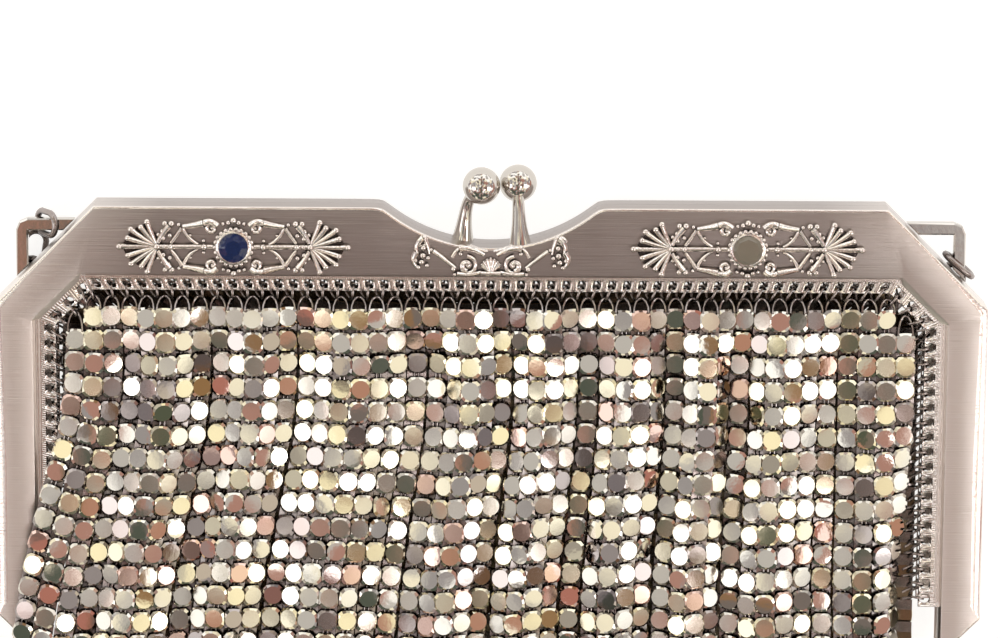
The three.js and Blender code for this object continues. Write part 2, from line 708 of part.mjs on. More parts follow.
// Points moved to the inside of the bag, square to the section. ring says whether the ends meet
function offset(points, distance, ring) {
  const last = points.length - 1;
  return points.map((_, i) => {
    const before = points[i > 0 ? i - 1 : ring ? last : 0];
    const after = points[i < last ? i + 1 : ring ? 0 : last];
    const dx = after[0] - before[0];
    const dz = after[1] - before[1];
    const long = Math.hypot(dx, dz);
    return [points[i][0] - (dz / long) * distance, points[i][1] + (dx / long) * distance];
  });
}

function addMeshBag() {
  const levels = bagLevels();
  const sections = levels.map(bagSection);
  const overCount = sections[0].over.length;
  const around = overCount + sections[0].under.length;
  const outer = sections.map(({ over, under }) => [...over, ...under]);
  const inner = sections.map(({ over, under }, j) => (levels[j].closed
    ? offset([...over, ...under], meshWall, true)
    : [...offset(over, meshWall, false), ...offset(under, meshWall, false)]));
  const lastLevel = levels.length - 1;
  const positions = [];
  outer.forEach((ring, j) => ring.forEach(([x, z]) => positions.push(x, -levels[j].drop, z)));
  inner.forEach((ring, j) => {
    const drop = levels[j].drop - (j === lastLevel ? meshWall : 0);
    ring.forEach(([x, z]) => positions.push(x, -drop, z));
  });
  const skin = (j, i) => j * around + (i % around);
  const lining = (j, i) => levels.length * around + j * around + (i % around);
  const faces = [];
  const quad = (a, b, c, d) => faces.push(a, b, c, a, c, d);
  const isSide = (i) => i === overCount - 1 || i === around - 1;
  const present = (j, i) => j >= 0 && j < lastLevel && (!isSide(i) || levels[j].closed);
  for (let j = 0; j < lastLevel; j += 1) {
    for (let i = 0; i < around; i += 1) {
      if (!present(j, i)) continue;
      quad(skin(j, i), skin(j, i + 1), skin(j + 1, i + 1), skin(j + 1, i));
      quad(lining(j, i), lining(j + 1, i), lining(j + 1, i + 1), lining(j, i + 1));
      if (!present(j - 1, i)) quad(skin(j, i), lining(j, i), lining(j, i + 1), skin(j, i + 1));
      const before = (i + around - 1) % around;
      const after = (i + 1) % around;
      if (!present(j, before)) quad(skin(j, i), skin(j + 1, i), lining(j + 1, i), lining(j, i));
      if (!present(j, after)) {
        quad(skin(j, after), lining(j, after), lining(j + 1, after), skin(j + 1, after));
      }
    }
  }
  [[outer, skin, 1], [inner, lining, -1]].forEach(([rings, index, facing]) => {
    const flat = rings[lastLevel].map(([x, z]) => new THREE.Vector2(x, z));
    THREE.ShapeUtils.triangulateShape(flat, []).forEach(([a, b, c]) => {
      const turn = (flat[b].x - flat[a].x) * (flat[c].y - flat[a].y)
        - (flat[b].y - flat[a].y) * (flat[c].x - flat[a].x);
      const corners = turn * facing > 0 ? [a, b, c] : [a, c, b];
      faces.push(...corners.map((i) => index(lastLevel, i)));
    });
  });
  const bag = new THREE.BufferGeometry();
  bag.setAttribute('position', new THREE.Float32BufferAttribute(positions, 3));
  bag.setIndex(faces);
  place('mesh_bag', toGeometry(toSolid(bag)), silver('champagne silver'));
}

addFrame();
addHingeRivets();
addClasp();
addEars();
addEarLinks();
addChain();
addOrnaments();
addMeshBag();

// The origin goes to the middle of the purse, on the surface that it lies on
purse.updateMatrixWorld(true);
const middle = new THREE.Box3().setFromObject(purse, true).getCenter(new THREE.Vector3());
purse.position.set(-middle.x, -middle.y, 0);

export default purse;
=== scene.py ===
from typing import NamedTuple

import bpy
import numpy as np
from mathutils import Matrix, Vector


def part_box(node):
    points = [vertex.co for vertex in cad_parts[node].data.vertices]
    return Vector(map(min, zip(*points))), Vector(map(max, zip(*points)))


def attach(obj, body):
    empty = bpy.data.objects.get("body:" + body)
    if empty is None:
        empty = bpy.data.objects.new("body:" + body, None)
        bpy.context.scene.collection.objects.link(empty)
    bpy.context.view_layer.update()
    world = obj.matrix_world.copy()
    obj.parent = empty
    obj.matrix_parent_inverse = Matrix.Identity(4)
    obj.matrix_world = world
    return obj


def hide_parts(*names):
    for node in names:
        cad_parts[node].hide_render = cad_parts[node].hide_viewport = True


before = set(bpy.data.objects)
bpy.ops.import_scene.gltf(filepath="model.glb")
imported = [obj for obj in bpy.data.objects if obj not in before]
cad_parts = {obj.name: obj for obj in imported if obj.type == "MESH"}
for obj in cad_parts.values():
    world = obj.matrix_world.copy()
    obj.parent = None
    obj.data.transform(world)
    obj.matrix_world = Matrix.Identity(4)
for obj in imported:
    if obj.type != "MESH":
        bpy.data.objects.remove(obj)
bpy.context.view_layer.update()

bl_info = {
    "name": "Metal mesh purse",
    "version": (1, 0, 0),
    "blender": (4, 5, 0),
    "location": "View3D > Sidebar > Purse",
    "description": "Dresses the purse's frame, clasp, ornaments, chain and disc mesh",
    "category": "Add Mesh",
}

MM = 0.001
ROOT2 = 2**0.5
TOP_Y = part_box("frame_front")[1].y
FACE_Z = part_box("frame_front")[1].z
FRAME_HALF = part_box("frame_front")[1].x
BAG_LOW, BAG_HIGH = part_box("mesh_bag")
MIDDLE_Z = (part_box("frame_back")[0].z + FACE_Z) / 2


# Property groups


def length(name, description, millimetres):
    """A length property, given in millimetres and kept in metres."""
    return bpy.props.FloatProperty(
        name=name, description=description, default=millimetres * MM, unit="LENGTH", precision=5
    )


def colour(name, description, code):
    """A colour property from an sRGB hex value."""
    return bpy.props.FloatVectorProperty(
        name=name, description=description, default=linear(code)[:3], subtype="COLOR", size=3, min=0, max=1
    )


def linear(code):
    """An sRGB hex value as linear red, green, blue and alpha."""
    part = np.array([int(code[i : i + 2], 16) for i in (1, 3, 5)]) / 255
    flat = np.where(part <= 0.04045, part / 12.92, ((part + 0.055) / 1.055) ** 2.4)
    return (*flat.tolist(), 1.0)


class PurseFrameSizes(bpy.types.PropertyGroup):
    """Sizes of the pressed frame, its lip and its clasp."""

    shoulder_half: length("Shoulder", "Half the width of the straight top edge", 66)
    arm_width: length("Arm", "Width of the face on the arms", 6.8)
    face_height: length("Face", "Height of the face over the mouth", 11.7)
    shoulder_band: length("Shoulder band", "Width of the face on the shoulders", 6.6)
    arm_end: length("Arm end", "From the top edge to the end of the arms", 70.5)
    sheet: length("Sheet", "Thickness of the metal", 0.9)
    lip_drop: length("Lip drop", "How far the lip lies under the face", 0.9)
    lip_top: length("Lip over the mouth", "Width of the lip over the mouth", 2.7)
    lip_side: length("Lip beside the mouth", "Width of the lip beside the mouth", 3.7)
    lip_shoulder: length("Lip on the shoulders", "Width of the lip on the shoulders", 3.2)
    dip_depth: length("Dip", "Depth of the dip for the clasp", 6.8)
    dip_chord: length("Dip chord", "Half the width of the dip", 18)
    hole_pitch: length("Hole pitch", "From hole to hole along the lip", 2.5)
    hole_width: length("Hole width", "Width of a hole along the lip", 1.5)
    hole_height: length("Hole height", "Height of a hole across the lip", 1.7)
    ball: length("Ball", "Diameter of the clasp's balls", 6.3)
    relief: length("Relief", "Height of the cast ornaments", 1.2)
    stone: length("Stone", "Diameter of the set stones", 4.9)


class PurseMeshSizes(bpy.types.PropertyGroup):
    """Sizes of the disc mesh and the handle chain."""

    disc: length("Disc", "Width of a disc", 3.42)
    disc_tall: length("Disc along", "Height of a disc, along its column", 3.55)
    flat: length("Flat", "Diameter of the flat middle of a disc", 3.05)
    rows_apart: length("Rows apart", "From row to row of discs", 3.95)
    first_row: length("First row", "From the top edge to the front's first row's middle", 18.8)
    back_row: length("Back's first row", "From the top edge to the back's first row's middle", 16.3)
    pleat: length("Pleat", "Depth of the pleats", 3.6)
    columns: bpy.props.IntProperty(name="Columns", description="Columns of discs in a panel", default=48)
    pleats: bpy.props.IntProperty(name="Pleats", description="Pleats across the front", default=9)
    tilt: bpy.props.FloatProperty(
        name="Tilt", description="Usual tilt of a disc in the mesh", default=np.radians(5), subtype="ANGLE"
    )
    link_wire: length("Link wire", "Wire of the chain's links", 1.1)
    link_inside: length("Link inside", "Inside width of the chain's links", 2.75)
    link_straight: length("Link straight", "Straight sides of the chain's links", 2.0)


class PurseColours(bpy.types.PropertyGroup):
    """Colours of the metals and stones."""

    silver: colour("Silver plate", "Plated brass of the frame, ears and chain", "#A69D99")
    # On the arms this colour is painted reflection; on the polished edges, the lip and the cast relief's
    # tops it is the plate's own polish.
    bright: colour("Bright plate", "Plate of the arms and of the polished edges", "#EDE6E0")
    polish: colour("Polished plate", "Plate of the clasp and the ornaments", "#CFCAC3")
    # Tarnish of the cast relief's hollows, and painted shade wherever ambient occlusion darkens the wires,
    # the discs and the relief.
    dark: colour("Tarnish", "Dark tarnish in hollows", "#2E2622")
    mesh: colour("Mesh plate", "Plate of the discs", "#D6D1C6")
    # The warm and copper tones of the discs are partly their own wear, partly painted reflection of the
    # room.
    gold: colour("Worn plate", "Warm tone of worn discs", "#DDD5BC")
    rose: colour("Copper tone", "Discs worn to the copper under the plate", "#D6B9AC")
    # Partly the backs' unpolished metal, partly painted shade of the bag's inside.
    back: colour("Disc back", "Unpolished backs of the discs", "#96876E")
    blue: colour("Blue stone", "Glass of the left stone", "#2A3A70")
    grey: colour("Grey stone", "Glass of the right stone", "#A39C8C")
    floor: colour("Floor", "Paper that the purse lies on", "#F4F3F1")


class PurseStageSettings(bpy.types.PropertyGroup):
    """Camera and lights."""

    tilt: bpy.props.FloatProperty(
        name="Tilt",
        description="Camera's lean from overhead towards the clasp",
        default=np.radians(12.6),
        subtype="ANGLE",
    )
    roll: bpy.props.FloatProperty(
        name="Roll",
        description="Camera's turn about its own line of sight",
        default=np.radians(0.3),
        subtype="ANGLE",
    )
    distance: length("Distance", "From the camera to the frame's face", 800)
    across: length("Across", "Width of the view at the frame's face", 166.7)
    aim_x: length("Aim across", "Middle of the view, from the purse's middle", 1.6)
    aim_drop: length("Aim down", "Middle of the view, from the top edge", 18.8)
    lamp: bpy.props.FloatProperty(name="Lamp", description="Power of each low lamp in watts", default=0.35)
    high_lamp: bpy.props.FloatProperty(
        name="High lamp", description="Power of the lamp over the right arm in watts", default=0.5
    )


# Mesh helpers


class Parts:
    """Collects points and faces of several surfaces that make up one mesh."""

    def __init__(self):
        self.points, self.faces, self.tags, self.count = [], [], [], 0

    def add(self, points, faces, tag=0.0):
        """Adds points (n, 3) and face arrays (m, corners), all faces with the same tag."""
        points = np.asarray(points, float).reshape(-1, 3)
        for group in faces:
            if len(group):
                self.faces.append(np.asarray(group) + self.count)
                self.tags.append(np.full(len(group), tag))
        self.points.append(points)
        self.count += len(points)

    def piece(self, name, material, smooth=35, merge=0.0):
        """Makes the object: soft edges below the smooth angle in degrees, sharp ones above."""
        mesh = bpy.data.meshes.new(name)
        points = np.concatenate(self.points)
        corners = np.concatenate([group.ravel() for group in self.faces])
        sizes = np.concatenate([np.full(len(group), group.shape[1]) for group in self.faces])
        mesh.vertices.add(len(points))
        mesh.vertices.foreach_set("co", points.ravel())
        mesh.loops.add(len(corners))
        mesh.loops.foreach_set("vertex_index", corners.astype(np.int32))
        mesh.polygons.add(len(sizes))
        mesh.polygons.foreach_set("loop_start", (np.cumsum(sizes) - sizes).astype(np.int32))
        mesh.update(calc_edges=True)
        tag = mesh.attributes.new("tag", "FLOAT", "FACE")
        tag.data.foreach_set("value", np.concatenate(self.tags).astype(np.float32))
        mesh.validate()
        mesh.shade_smooth()
        mesh.set_sharp_from_angle(angle=np.radians(smooth))
        made = bpy.data.objects.new(name, mesh)
        bpy.context.scene.collection.objects.link(made)
        made.data.materials.append(material)
        if merge:
            weld = made.modifiers.new("weld", "WELD")
            weld.merge_threshold = merge
        return made


def quads(rows, columns, rows_closed=False, columns_closed=False):
    """Faces of a grid of rows x columns points, each quad from (i, j) to (i + 1, j + 1)."""
    i = np.arange(rows if rows_closed else rows - 1)[:, None]
    j = np.arange(columns if columns_closed else columns - 1)[None, :]
    down, right = (i + 1) % rows, (j + 1) % columns
    corner = [i * columns + j, i * columns + right, down * columns + right, down * columns + j]
    return np.stack(np.broadcast_arrays(*corner), -1).reshape(-1, 4)


def unit(vectors):
    """Vectors divided by their lengths."""
    return vectors / np.maximum(np.linalg.norm(vectors, axis=-1, keepdims=True), 1e-12)


def tube(path, radius, reference, sides=8, closed=False, flat=1.0):
    """A round wire: circles of the radius, squashed by flat along their height, set square to a path.
    The circle's first axis is tangent x reference, its second is that axis x tangent."""
    path = np.asarray(path, float)
    before, after = (path[-1:], path[:1]) if closed else (path[:1], path[-1:])
    ends = np.concatenate([before, path, after])
    tangent = unit(ends[2:] - ends[:-2])
    side = unit(np.cross(tangent, np.broadcast_to(reference, path.shape)))
    up = np.cross(side, tangent)
    angle = np.linspace(0, 2 * np.pi, sides, endpoint=False)
    size = np.broadcast_to(radius, len(path))[:, None, None]
    ring = side[:, None] * np.cos(angle)[None, :, None] + flat * up[:, None] * np.sin(angle)[None, :, None]
    points = path[:, None] + size * ring
    faces = [quads(len(path), sides, closed, True)[:, ::-1]]
    if not closed:
        first = np.arange(sides)[None]
        faces += [first, (first + (len(path) - 1) * sides)[:, ::-1]]
    return points, faces


def copies(points, faces, places, axes, sizes=1.0):
    """A template repeated: each point is place + size * (the template's x, y, z along that copy's axes)."""
    points = np.asarray(points, float)
    sizes = np.broadcast_to(np.asarray(sizes, float).reshape(-1, 1, 1), (len(places), 1, 1))
    moved = places[:, None] + np.einsum("vk,nkd->nvd", points, axes) * sizes
    step = np.arange(len(places)) * len(points)
    repeated = [(group[None] + step[:, None, None]).reshape(-1, group.shape[1]) for group in faces]
    return moved.reshape(-1, 3), repeated


def ball(segments=10, rings=6, squash=1.0):
    """A sphere of radius 1: circles of radius sin(t) at height cos(t), with one point at each pole."""
    turn = np.linspace(0, 2 * np.pi, segments, endpoint=False)
    fall = np.linspace(0, np.pi, rings + 1)[1:-1]
    body = np.stack(
        [
            np.sin(fall)[:, None] * np.cos(turn),
            np.sin(fall)[:, None] * np.sin(turn),
            squash * np.cos(fall)[:, None] * np.ones(segments),
        ],
        -1,
    ).reshape(-1, 3)
    points = np.concatenate([body, [[0, 0, squash], [0, 0, -squash]]])
    j = np.arange(segments)
    top = np.stack([np.full(segments, len(body)), j, (j + 1) % segments], 1)
    last = (rings - 2) * segments
    low = np.stack([np.full(segments, len(body) + 1), last + (j + 1) % segments, last + j], 1)
    return points, [quads(rings - 1, segments, False, True)[:, ::-1], top, low]


def beads(parts, places, radii, squash=1.0, segments=8, rings=5):
    """Small balls at the places."""
    places = np.asarray(places, float).reshape(-1, 3)
    axes = np.broadcast_to(np.eye(3), (len(places), 3, 3))
    parts.add(*copies(*ball(segments, rings, squash), places, axes, np.broadcast_to(radii, len(places))))


def turned(parts, profile, place, axis, steps=32, closed=False):
    """A turned form: the profile's (radius, height) points carried round an axis through the place."""
    profile = np.asarray(profile, float)
    axis = unit(np.asarray(axis, float))
    across = unit(np.cross(axis, [0.3, 0.2, 0.9] if abs(axis[2]) < 0.9 else [1, 0, 0]))
    other = np.cross(axis, across)
    angle = np.linspace(0, 2 * np.pi, steps, endpoint=False)[None, :, None]
    round_it = across * np.cos(angle) + other * np.sin(angle)
    points = np.asarray(place) + profile[:, 0, None, None] * round_it + profile[:, 1, None, None] * axis
    faces = [quads(len(profile), steps, closed, True)[:, ::-1]]
    if not closed:
        first = np.arange(steps)[None]
        faces += [first, (first + (len(profile) - 1) * steps)[:, ::-1]]
    parts.add(points, faces)


def smooth(share):
    """3 s^2 - 2 s^3 of the share kept between 0 and 1."""
    share = np.clip(share, 0, 1)
    return share * share * (3 - 2 * share)


def mix(start, end, share):
    """start + (end - start) * share."""
    return start + (end - start) * share


# Outline of the frame. drop is the distance down from the top edge, so y = TOP_Y - drop


class Edge(NamedTuple):
    """An eight-cornered line round the mouth: half width, drop of its top, and half its straight top less
    that drop."""

    half: float
    drop: float
    line: float

    def inward(self, distance):
        """The line a distance nearer the middle of the mouth."""
        return Edge(self.half - distance, self.drop + distance, self.line - distance * ROOT2)

    def corners(self, end):
        """x and drop of the six corners from the left arm's end to the right arm's end."""
        x = np.array([self.drop + self.line, self.half, self.half])
        drop = np.array([self.drop, self.half - self.line, end])
        return np.concatenate([-x[::-1], x]), np.concatenate([drop[::-1], drop])


def frame_edges(sizes):
    """Outer edge, edge of the groove and inner edge of the lip."""
    outer = Edge(FRAME_HALF, 0.0, sizes.shoulder_half)
    groove = Edge(
        FRAME_HALF - sizes.arm_width, sizes.face_height, sizes.shoulder_half - sizes.shoulder_band * ROOT2
    )
    lip = Edge(
        groove.half - sizes.lip_side, groove.drop + sizes.lip_top, groove.line - sizes.lip_shoulder * ROOT2
    )
    return outer, groove, lip


def lip_end(sizes):
    """Drop where the lip ends, a little above the end of the arms."""
    return sizes.arm_end - 2 * MM


def along_lip(sizes, share, inside, height):
    """Points beside the lip's inner edge. share runs 0..5 over the lip's five straights, inside is the
    distance from the edge into the metal, height is z."""
    lip = frame_edges(sizes)[2]
    share, inside, height = np.broadcast_arrays(share, inside, height)
    half, drop, line = lip.half + inside, lip.drop - inside, lip.line + inside * ROOT2
    x = np.stack([-half, -half, -(drop + line), drop + line, half, half], -1)
    end = np.full_like(half, lip_end(sizes))
    down = np.stack([end, half - line, drop, drop, half - line, end], -1)
    first = np.clip(np.floor(share).astype(int), 0, 4)[..., None]
    part = share[..., None] - first
    x, down = [
        mix(np.take_along_axis(line, first, -1), np.take_along_axis(line, first + 1, -1), part)[..., 0]
        for line in (x, down)
    ]
    return np.stack([x, TOP_Y - down, height], -1)


def hole_borders(sizes):
    """Shares along the lip that part the holes, evenly within each straight."""
    x, drop = frame_edges(sizes)[2].corners(lip_end(sizes))
    run = np.hypot(np.diff(x), np.diff(drop))
    counts = np.maximum(np.round(run / sizes.hole_pitch).astype(int), 1)
    return np.concatenate([i + np.arange(n) / n for i, n in enumerate(counts)] + [[5.0]])


def follow(corners, shares):
    """Points at the shares of lines that have a corner at each whole share: corners is (8, shares, 2)."""
    first = np.clip(np.floor(shares).astype(int), 0, len(corners) - 2)
    spot = np.arange(len(shares))
    return mix(corners[first, spot], corners[first + 1, spot], (shares - first)[:, None]).T


def outer_line(sizes, distance, shares):
    """x and drop of the outer line a distance inside the metal. shares run 0..7: the cut tip of the left
    arm, the five straights, the cut tip of the right arm. The dip is a circle's arc, and where it meets the
    top edge the larger of the two drops is rounded by (a + b + sqrt((a - b)^2 + k^2)) / 2."""
    outer, groove, _ = frame_edges(sizes)
    distance = np.broadcast_to(distance, shares.shape)
    half, drop, line = outer.inward(distance)
    cut = sizes.arm_end + FRAME_HALF - distance * ROOT2
    tip = np.full_like(half, groove.half)
    x = np.stack([tip, half, half, drop + line])
    down = np.stack([cut - tip, cut - half, half - line, drop])
    corners = np.stack([np.concatenate([-x, x[::-1]]), np.concatenate([down, down[::-1]])], -1)
    x, drop = follow(corners, shares)
    radius = (sizes.dip_chord**2 + sizes.dip_depth**2) / (2 * sizes.dip_depth)
    reach = np.sqrt(np.maximum((radius + distance) ** 2 - x**2, 0))
    dip = np.where(np.abs(x) < radius, reach - (radius - sizes.dip_depth), -1.0)
    softness = 0.5 * MM
    near = np.abs(x) < sizes.dip_chord + 6 * MM
    return x, np.where(near, (drop + dip + np.sqrt((drop - dip) ** 2 + softness**2)) / 2, drop)


def groove_line(sizes, distance, shares, end):
    """x and drop of a line a distance inside the groove's edge, in step with outer_line."""
    half, drop, line = frame_edges(sizes)[1].inward(np.broadcast_to(distance, shares.shape))
    end = np.full_like(half, end)
    x = np.stack([half, half, half, drop + line])
    down = np.stack([end, end, half - line, drop])
    return follow(np.stack([np.concatenate([-x, x[::-1]]), np.concatenate([down, down[::-1]])], -1), shares)


def frame_shares():
    """Shares along the outer line: close together at the corners and in the dip."""
    corner = np.array([0.0, 0.006, 0.03, 0.5, 0.97, 0.994])
    short = np.array([0.0, 0.06, 0.3, 0.7, 0.94])
    left, right = [0.0, 0.004, 0.02, 0.15, 0.28, 0.33], [0.67, 0.72, 0.85, 0.98, 0.996]
    top = np.concatenate([left, np.linspace(0.345, 0.655, 49), right])
    steps = [short, corner, short, top, short, corner, short]
    return np.concatenate([i + part for i, part in enumerate(steps)] + [[7.0]])


def frame_half(sizes, name, material, facing):
    """One pressed half: the profile's lines, each (x, drop) line at its height, skinned into a closed ring.
    facing is 1 for the front half and -1 for the back one."""
    parts = Parts()
    shares = frame_shares()
    depth = FACE_Z - MIDDLE_Z
    gap = 0.03 * MM
    lip_top = depth - sizes.lip_drop
    lip_low = lip_top - sizes.sheet
    apart = np.abs(shares - 3.5)
    on_arm = smooth((apart - 1.0) / 0.9) * smooth((2.5 - apart) / 0.04)
    rounding = mix(0.4 * MM, 1.9 * MM, on_arm)
    arm_drop = mix(0.4 * MM, 0.75 * MM, on_arm)
    tip = sizes.arm_end + sizes.arm_width
    edge_end = tip - 1.05 * MM
    inside_end = tip - 2.2 * MM
    outer = []
    for turn in np.radians([0, 22, 45, 68, 90]):
        line = outer_line(sizes, rounding * (1 - np.sin(turn)), shares)
        outer.append((*line, depth - arm_drop * (1 - np.cos(turn))))
    on_shoulder = smooth((apart - 0.5) / 0.03) * smooth((1.5 - apart) / 0.03)
    step = mix(0.12 * MM, 0.6 * MM, on_shoulder)
    edge = [
        (*groove_line(sizes, -0.45 * MM, shares, edge_end), depth),
        (*groove_line(sizes, -0.2 * MM, shares, edge_end), depth - 0.08 * MM),
        (*groove_line(sizes, step, shares, edge_end), depth - 0.6 * MM),
        (*groove_line(sizes, step + 0.23 * MM, shares, edge_end), lip_low),
    ]
    inside = [
        (*groove_line(sizes, -sizes.sheet, shares, inside_end), lip_low),
        (*groove_line(sizes, -sizes.sheet, shares, inside_end), depth - sizes.sheet),
        (*outer_line(sizes, sizes.sheet, shares), depth - sizes.sheet),
        (*outer_line(sizes, sizes.sheet, shares), gap),
        (*outer_line(sizes, 0.0, shares), gap),
    ]
    lines = [*outer[::-1], *edge, *inside]
    ring = np.stack([np.stack([x, TOP_Y - drop, MIDDLE_Z + facing * z + 0 * x], -1) for x, drop, z in lines])
    count = len(shares)
    caps = np.arange(len(lines))[None] * count
    faces = [quads(len(lines), count, True, False)[:, ::-1], caps[:, ::-1] + count - 1, caps]
    parts.add(ring, faces if facing > 0 else [group[:, ::-1] for group in faces])
    parts.tags[0][: (len(outer) - 1) * (count - 1)] = 1
    add_lip(parts, sizes, facing, MIDDLE_Z + facing * lip_top, facing * sizes.sheet)
    add_lugs(parts, sizes, facing)
    return parts.piece(name, material, smooth=32, merge=0.004 * MM)


def add_lip(parts, sizes, facing, top, thick):
    """The sunk lip: dished cells with an oval hole, a flat band and a rounded rim along them."""
    borders = hole_borders(sizes)
    start, end = borders[:-1], borders[1:]
    side = np.linspace(0, 1, 4, endpoint=False)
    square = np.concatenate(
        [np.stack([side, 0 * side], 1), np.stack([0 * side + 1, side], 1),
         np.stack([1 - side, 0 * side + 1], 1), np.stack([0 * side, 1 - side], 1)]
    )
    turn = np.arctan2(square[:, 1] - 0.5, square[:, 0] - 0.5)
    hole = 0.5 + 0.5 * np.stack([np.cos(turn), np.sin(turn)], 1)
    low, high = 0.12 * MM, 2.0 * MM
    dish = 0.22 * MM if thick > 0 else -0.22 * MM
    share_width = sizes.hole_width / sizes.hole_pitch
    hole_middle = 1.08 * MM
    loops = []
    for outline, hole_it in ((square, False), (hole, True)):
        across = 0.5 + (outline[:, 0] - 0.5) * (share_width if hole_it else 1)
        inside = (
            hole_middle + (outline[:, 1] - 0.5) * sizes.hole_height
            if hole_it
            else mix(low, high, outline[:, 1])
        )
        share = start[:, None] + (end - start)[:, None] * across[None]
        loops.append((share, np.broadcast_to(inside, share.shape)))
    count, corners = len(start), len(square)
    levels = [(loops[0], top), (loops[1], top - dish), (loops[1], top - thick), (loops[0], top - thick)]
    cells = np.stack([along_lip(sizes, *spot, np.full_like(spot[0], z)) for spot, z in levels], 1)
    one = quads(len(levels), corners, False, True)
    every = (one[None] + (np.arange(count) * len(levels) * corners)[:, None, None]).reshape(-1, 4)
    parts.add(cells, [every if facing > 0 else every[:, ::-1]], tag=1.0)
    grid_share = np.unique(np.concatenate([borders, np.arange(6.0)]))
    wide = lip_width(sizes, grid_share)
    band = [(high, 0), (wide + 0.3 * MM, 0), (wide + 0.3 * MM, 1), (high, 1)]
    rim = [(low, 1), (0.02 * MM, 0.85), (0, 0.5), (0.02 * MM, 0.15), (low, 0)]
    for strip in (band, rim):
        points = np.stack([along_lip(sizes, grid_share, at, top - deep * thick) for at, deep in strip])
        faces = quads(len(strip), len(grid_share))
        parts.add(points, [faces if facing > 0 else faces[:, ::-1]], tag=1.0)
    add_ridges(parts, sizes, facing, top)


def lip_width(sizes, share):
    """Width of the lip at a share along it: side, shoulder, top, shoulder, side."""
    corner = 0.5 * (sizes.lip_side + sizes.lip_top)
    side, top = [sizes.lip_side] * 2, [corner * 0.9] * 2
    return np.interp(share, np.arange(6), [*side, *top, *side])


def add_ridges(parts, sizes, facing, top):
    """Seven fine ridges to a hole, three-sided bars square to the mouth, of which two run on between the
    holes, and two rails along each arm."""
    borders = hole_borders(sizes)
    start, step = borders[:-1, None], np.diff(borders)[:, None]
    places = (np.arange(7) + 0.5) / 7
    share = (start + step * places).ravel()
    between = np.tile(np.isin(np.arange(7), (0, 6)), len(start))
    lean = 0.1 * MM
    half_step = (step * 0.045 + 0 * places).ravel()
    low = np.where(between, 0.3 * MM, 2.0 * MM)
    on_arm = (share < 1) | (share > 4)
    high = lip_width(sizes, share) - np.where(on_arm, 1.1 * MM, 0.15 * MM)
    spots = []
    for inside in (low, high):
        for shift, height in ((-1, -0.02 * MM), (0, lean), (1, -0.02 * MM)):
            spots.append(along_lip(sizes, share + shift * half_step, inside, top + facing * height))
    points = np.stack(spots, 1)
    one = [np.array([[0, 1, 4, 3], [1, 2, 5, 4], [2, 0, 3, 5]]), np.array([[0, 2, 1], [3, 4, 5]])]
    step_index = (np.arange(len(share)) * 6)[:, None, None]
    faces = [(group[None] + step_index).reshape(-1, group.shape[1]) for group in one]
    parts.add(points, faces if facing < 0 else [group[:, ::-1] for group in faces], tag=1.0)
    for first, last in ((0.02, 1.0), (4.0, 4.98)):
        for inside in (0.75, 0.3):
            run = np.linspace(first, last, 60)
            place = lip_width(sizes, run) - inside * MM
            line = along_lip(sizes, run, place, np.full_like(run, top))
            parts.add(*tube(line, 0.15 * MM, (0, 0, 1), 6))


def add_lugs(parts, sizes, facing):
    """The hinge's lug inside each arm, a plate with a round lower end."""
    wide = 4.2 * MM
    drop = sizes.arm_end - sizes.sheet - wide / 2
    turn = np.linspace(-np.pi, 0, 13)
    reach = FACE_Z - MIDDLE_Z - sizes.sheet / 2
    round_end = np.stack([np.cos(turn), np.sin(turn)], 1) * wide / 2
    outline = np.concatenate([round_end, [[wide / 2, reach], [-wide / 2, reach]]])
    y, z = TOP_Y - drop + outline[:, 0], MIDDLE_Z + facing * outline[:, 1]
    inner = FRAME_HALF - sizes.sheet - (0.3 if facing > 0 else 1.5) * MM
    for side in (-1, 1):
        x = side * np.array([inner, inner - sizes.sheet])
        points = np.stack([np.stack([at + 0 * y, y, z], 1) for at in x])
        count = len(outline)
        first = np.arange(count)[None]
        faces = [quads(2, count, False, True), first[:, ::-1], first + count]
        parts.add(points, faces if side * facing < 0 else [group[:, ::-1] for group in faces])


def spiral_wire(sizes, name, material, facing):
    """The wire that sews the mesh to the lip: one turn to a hole. It rises from the hole, leans over the
    edge by a third of a hole's pitch and runs back under the lip by the rest."""
    turns = 20
    borders = hole_borders(sizes)
    middles = (borders[:-1] + borders[1:]) / 2
    middles = np.concatenate([[middles[0] - (middles[1] - middles[0])], middles])
    angle = np.linspace(0, 2 * np.pi, turns, endpoint=False)
    advance = np.where(angle < np.pi, 0.32 * angle / np.pi, 0.32 + 0.68 * (angle - np.pi) / np.pi)
    order = np.arange(len(middles) - 1, 0, -1)
    share = (middles[order][:, None] + (middles[order - 1] - middles[order])[:, None] * advance).ravel()
    inside = np.tile(-0.25 * MM + 1.15 * MM * np.cos(angle), len(order))
    plate = FACE_Z - MIDDLE_Z - sizes.lip_drop - sizes.sheet / 2
    height = MIDDLE_Z + facing * (plate + 0.72 * MM * np.tile(np.sin(angle), len(order)))
    path = along_lip(sizes, np.clip(share, 0, 5), inside, height)
    before, after = [along_lip(sizes, np.clip(share + step, 0, 5), 0, height) for step in (-0.02, 0.02)]
    parts = Parts()
    parts.add(*tube(path, 0.2 * MM, unit(after - before), 6))
    return parts.piece(name, material, smooth=60)


# Clasp, ears and chain


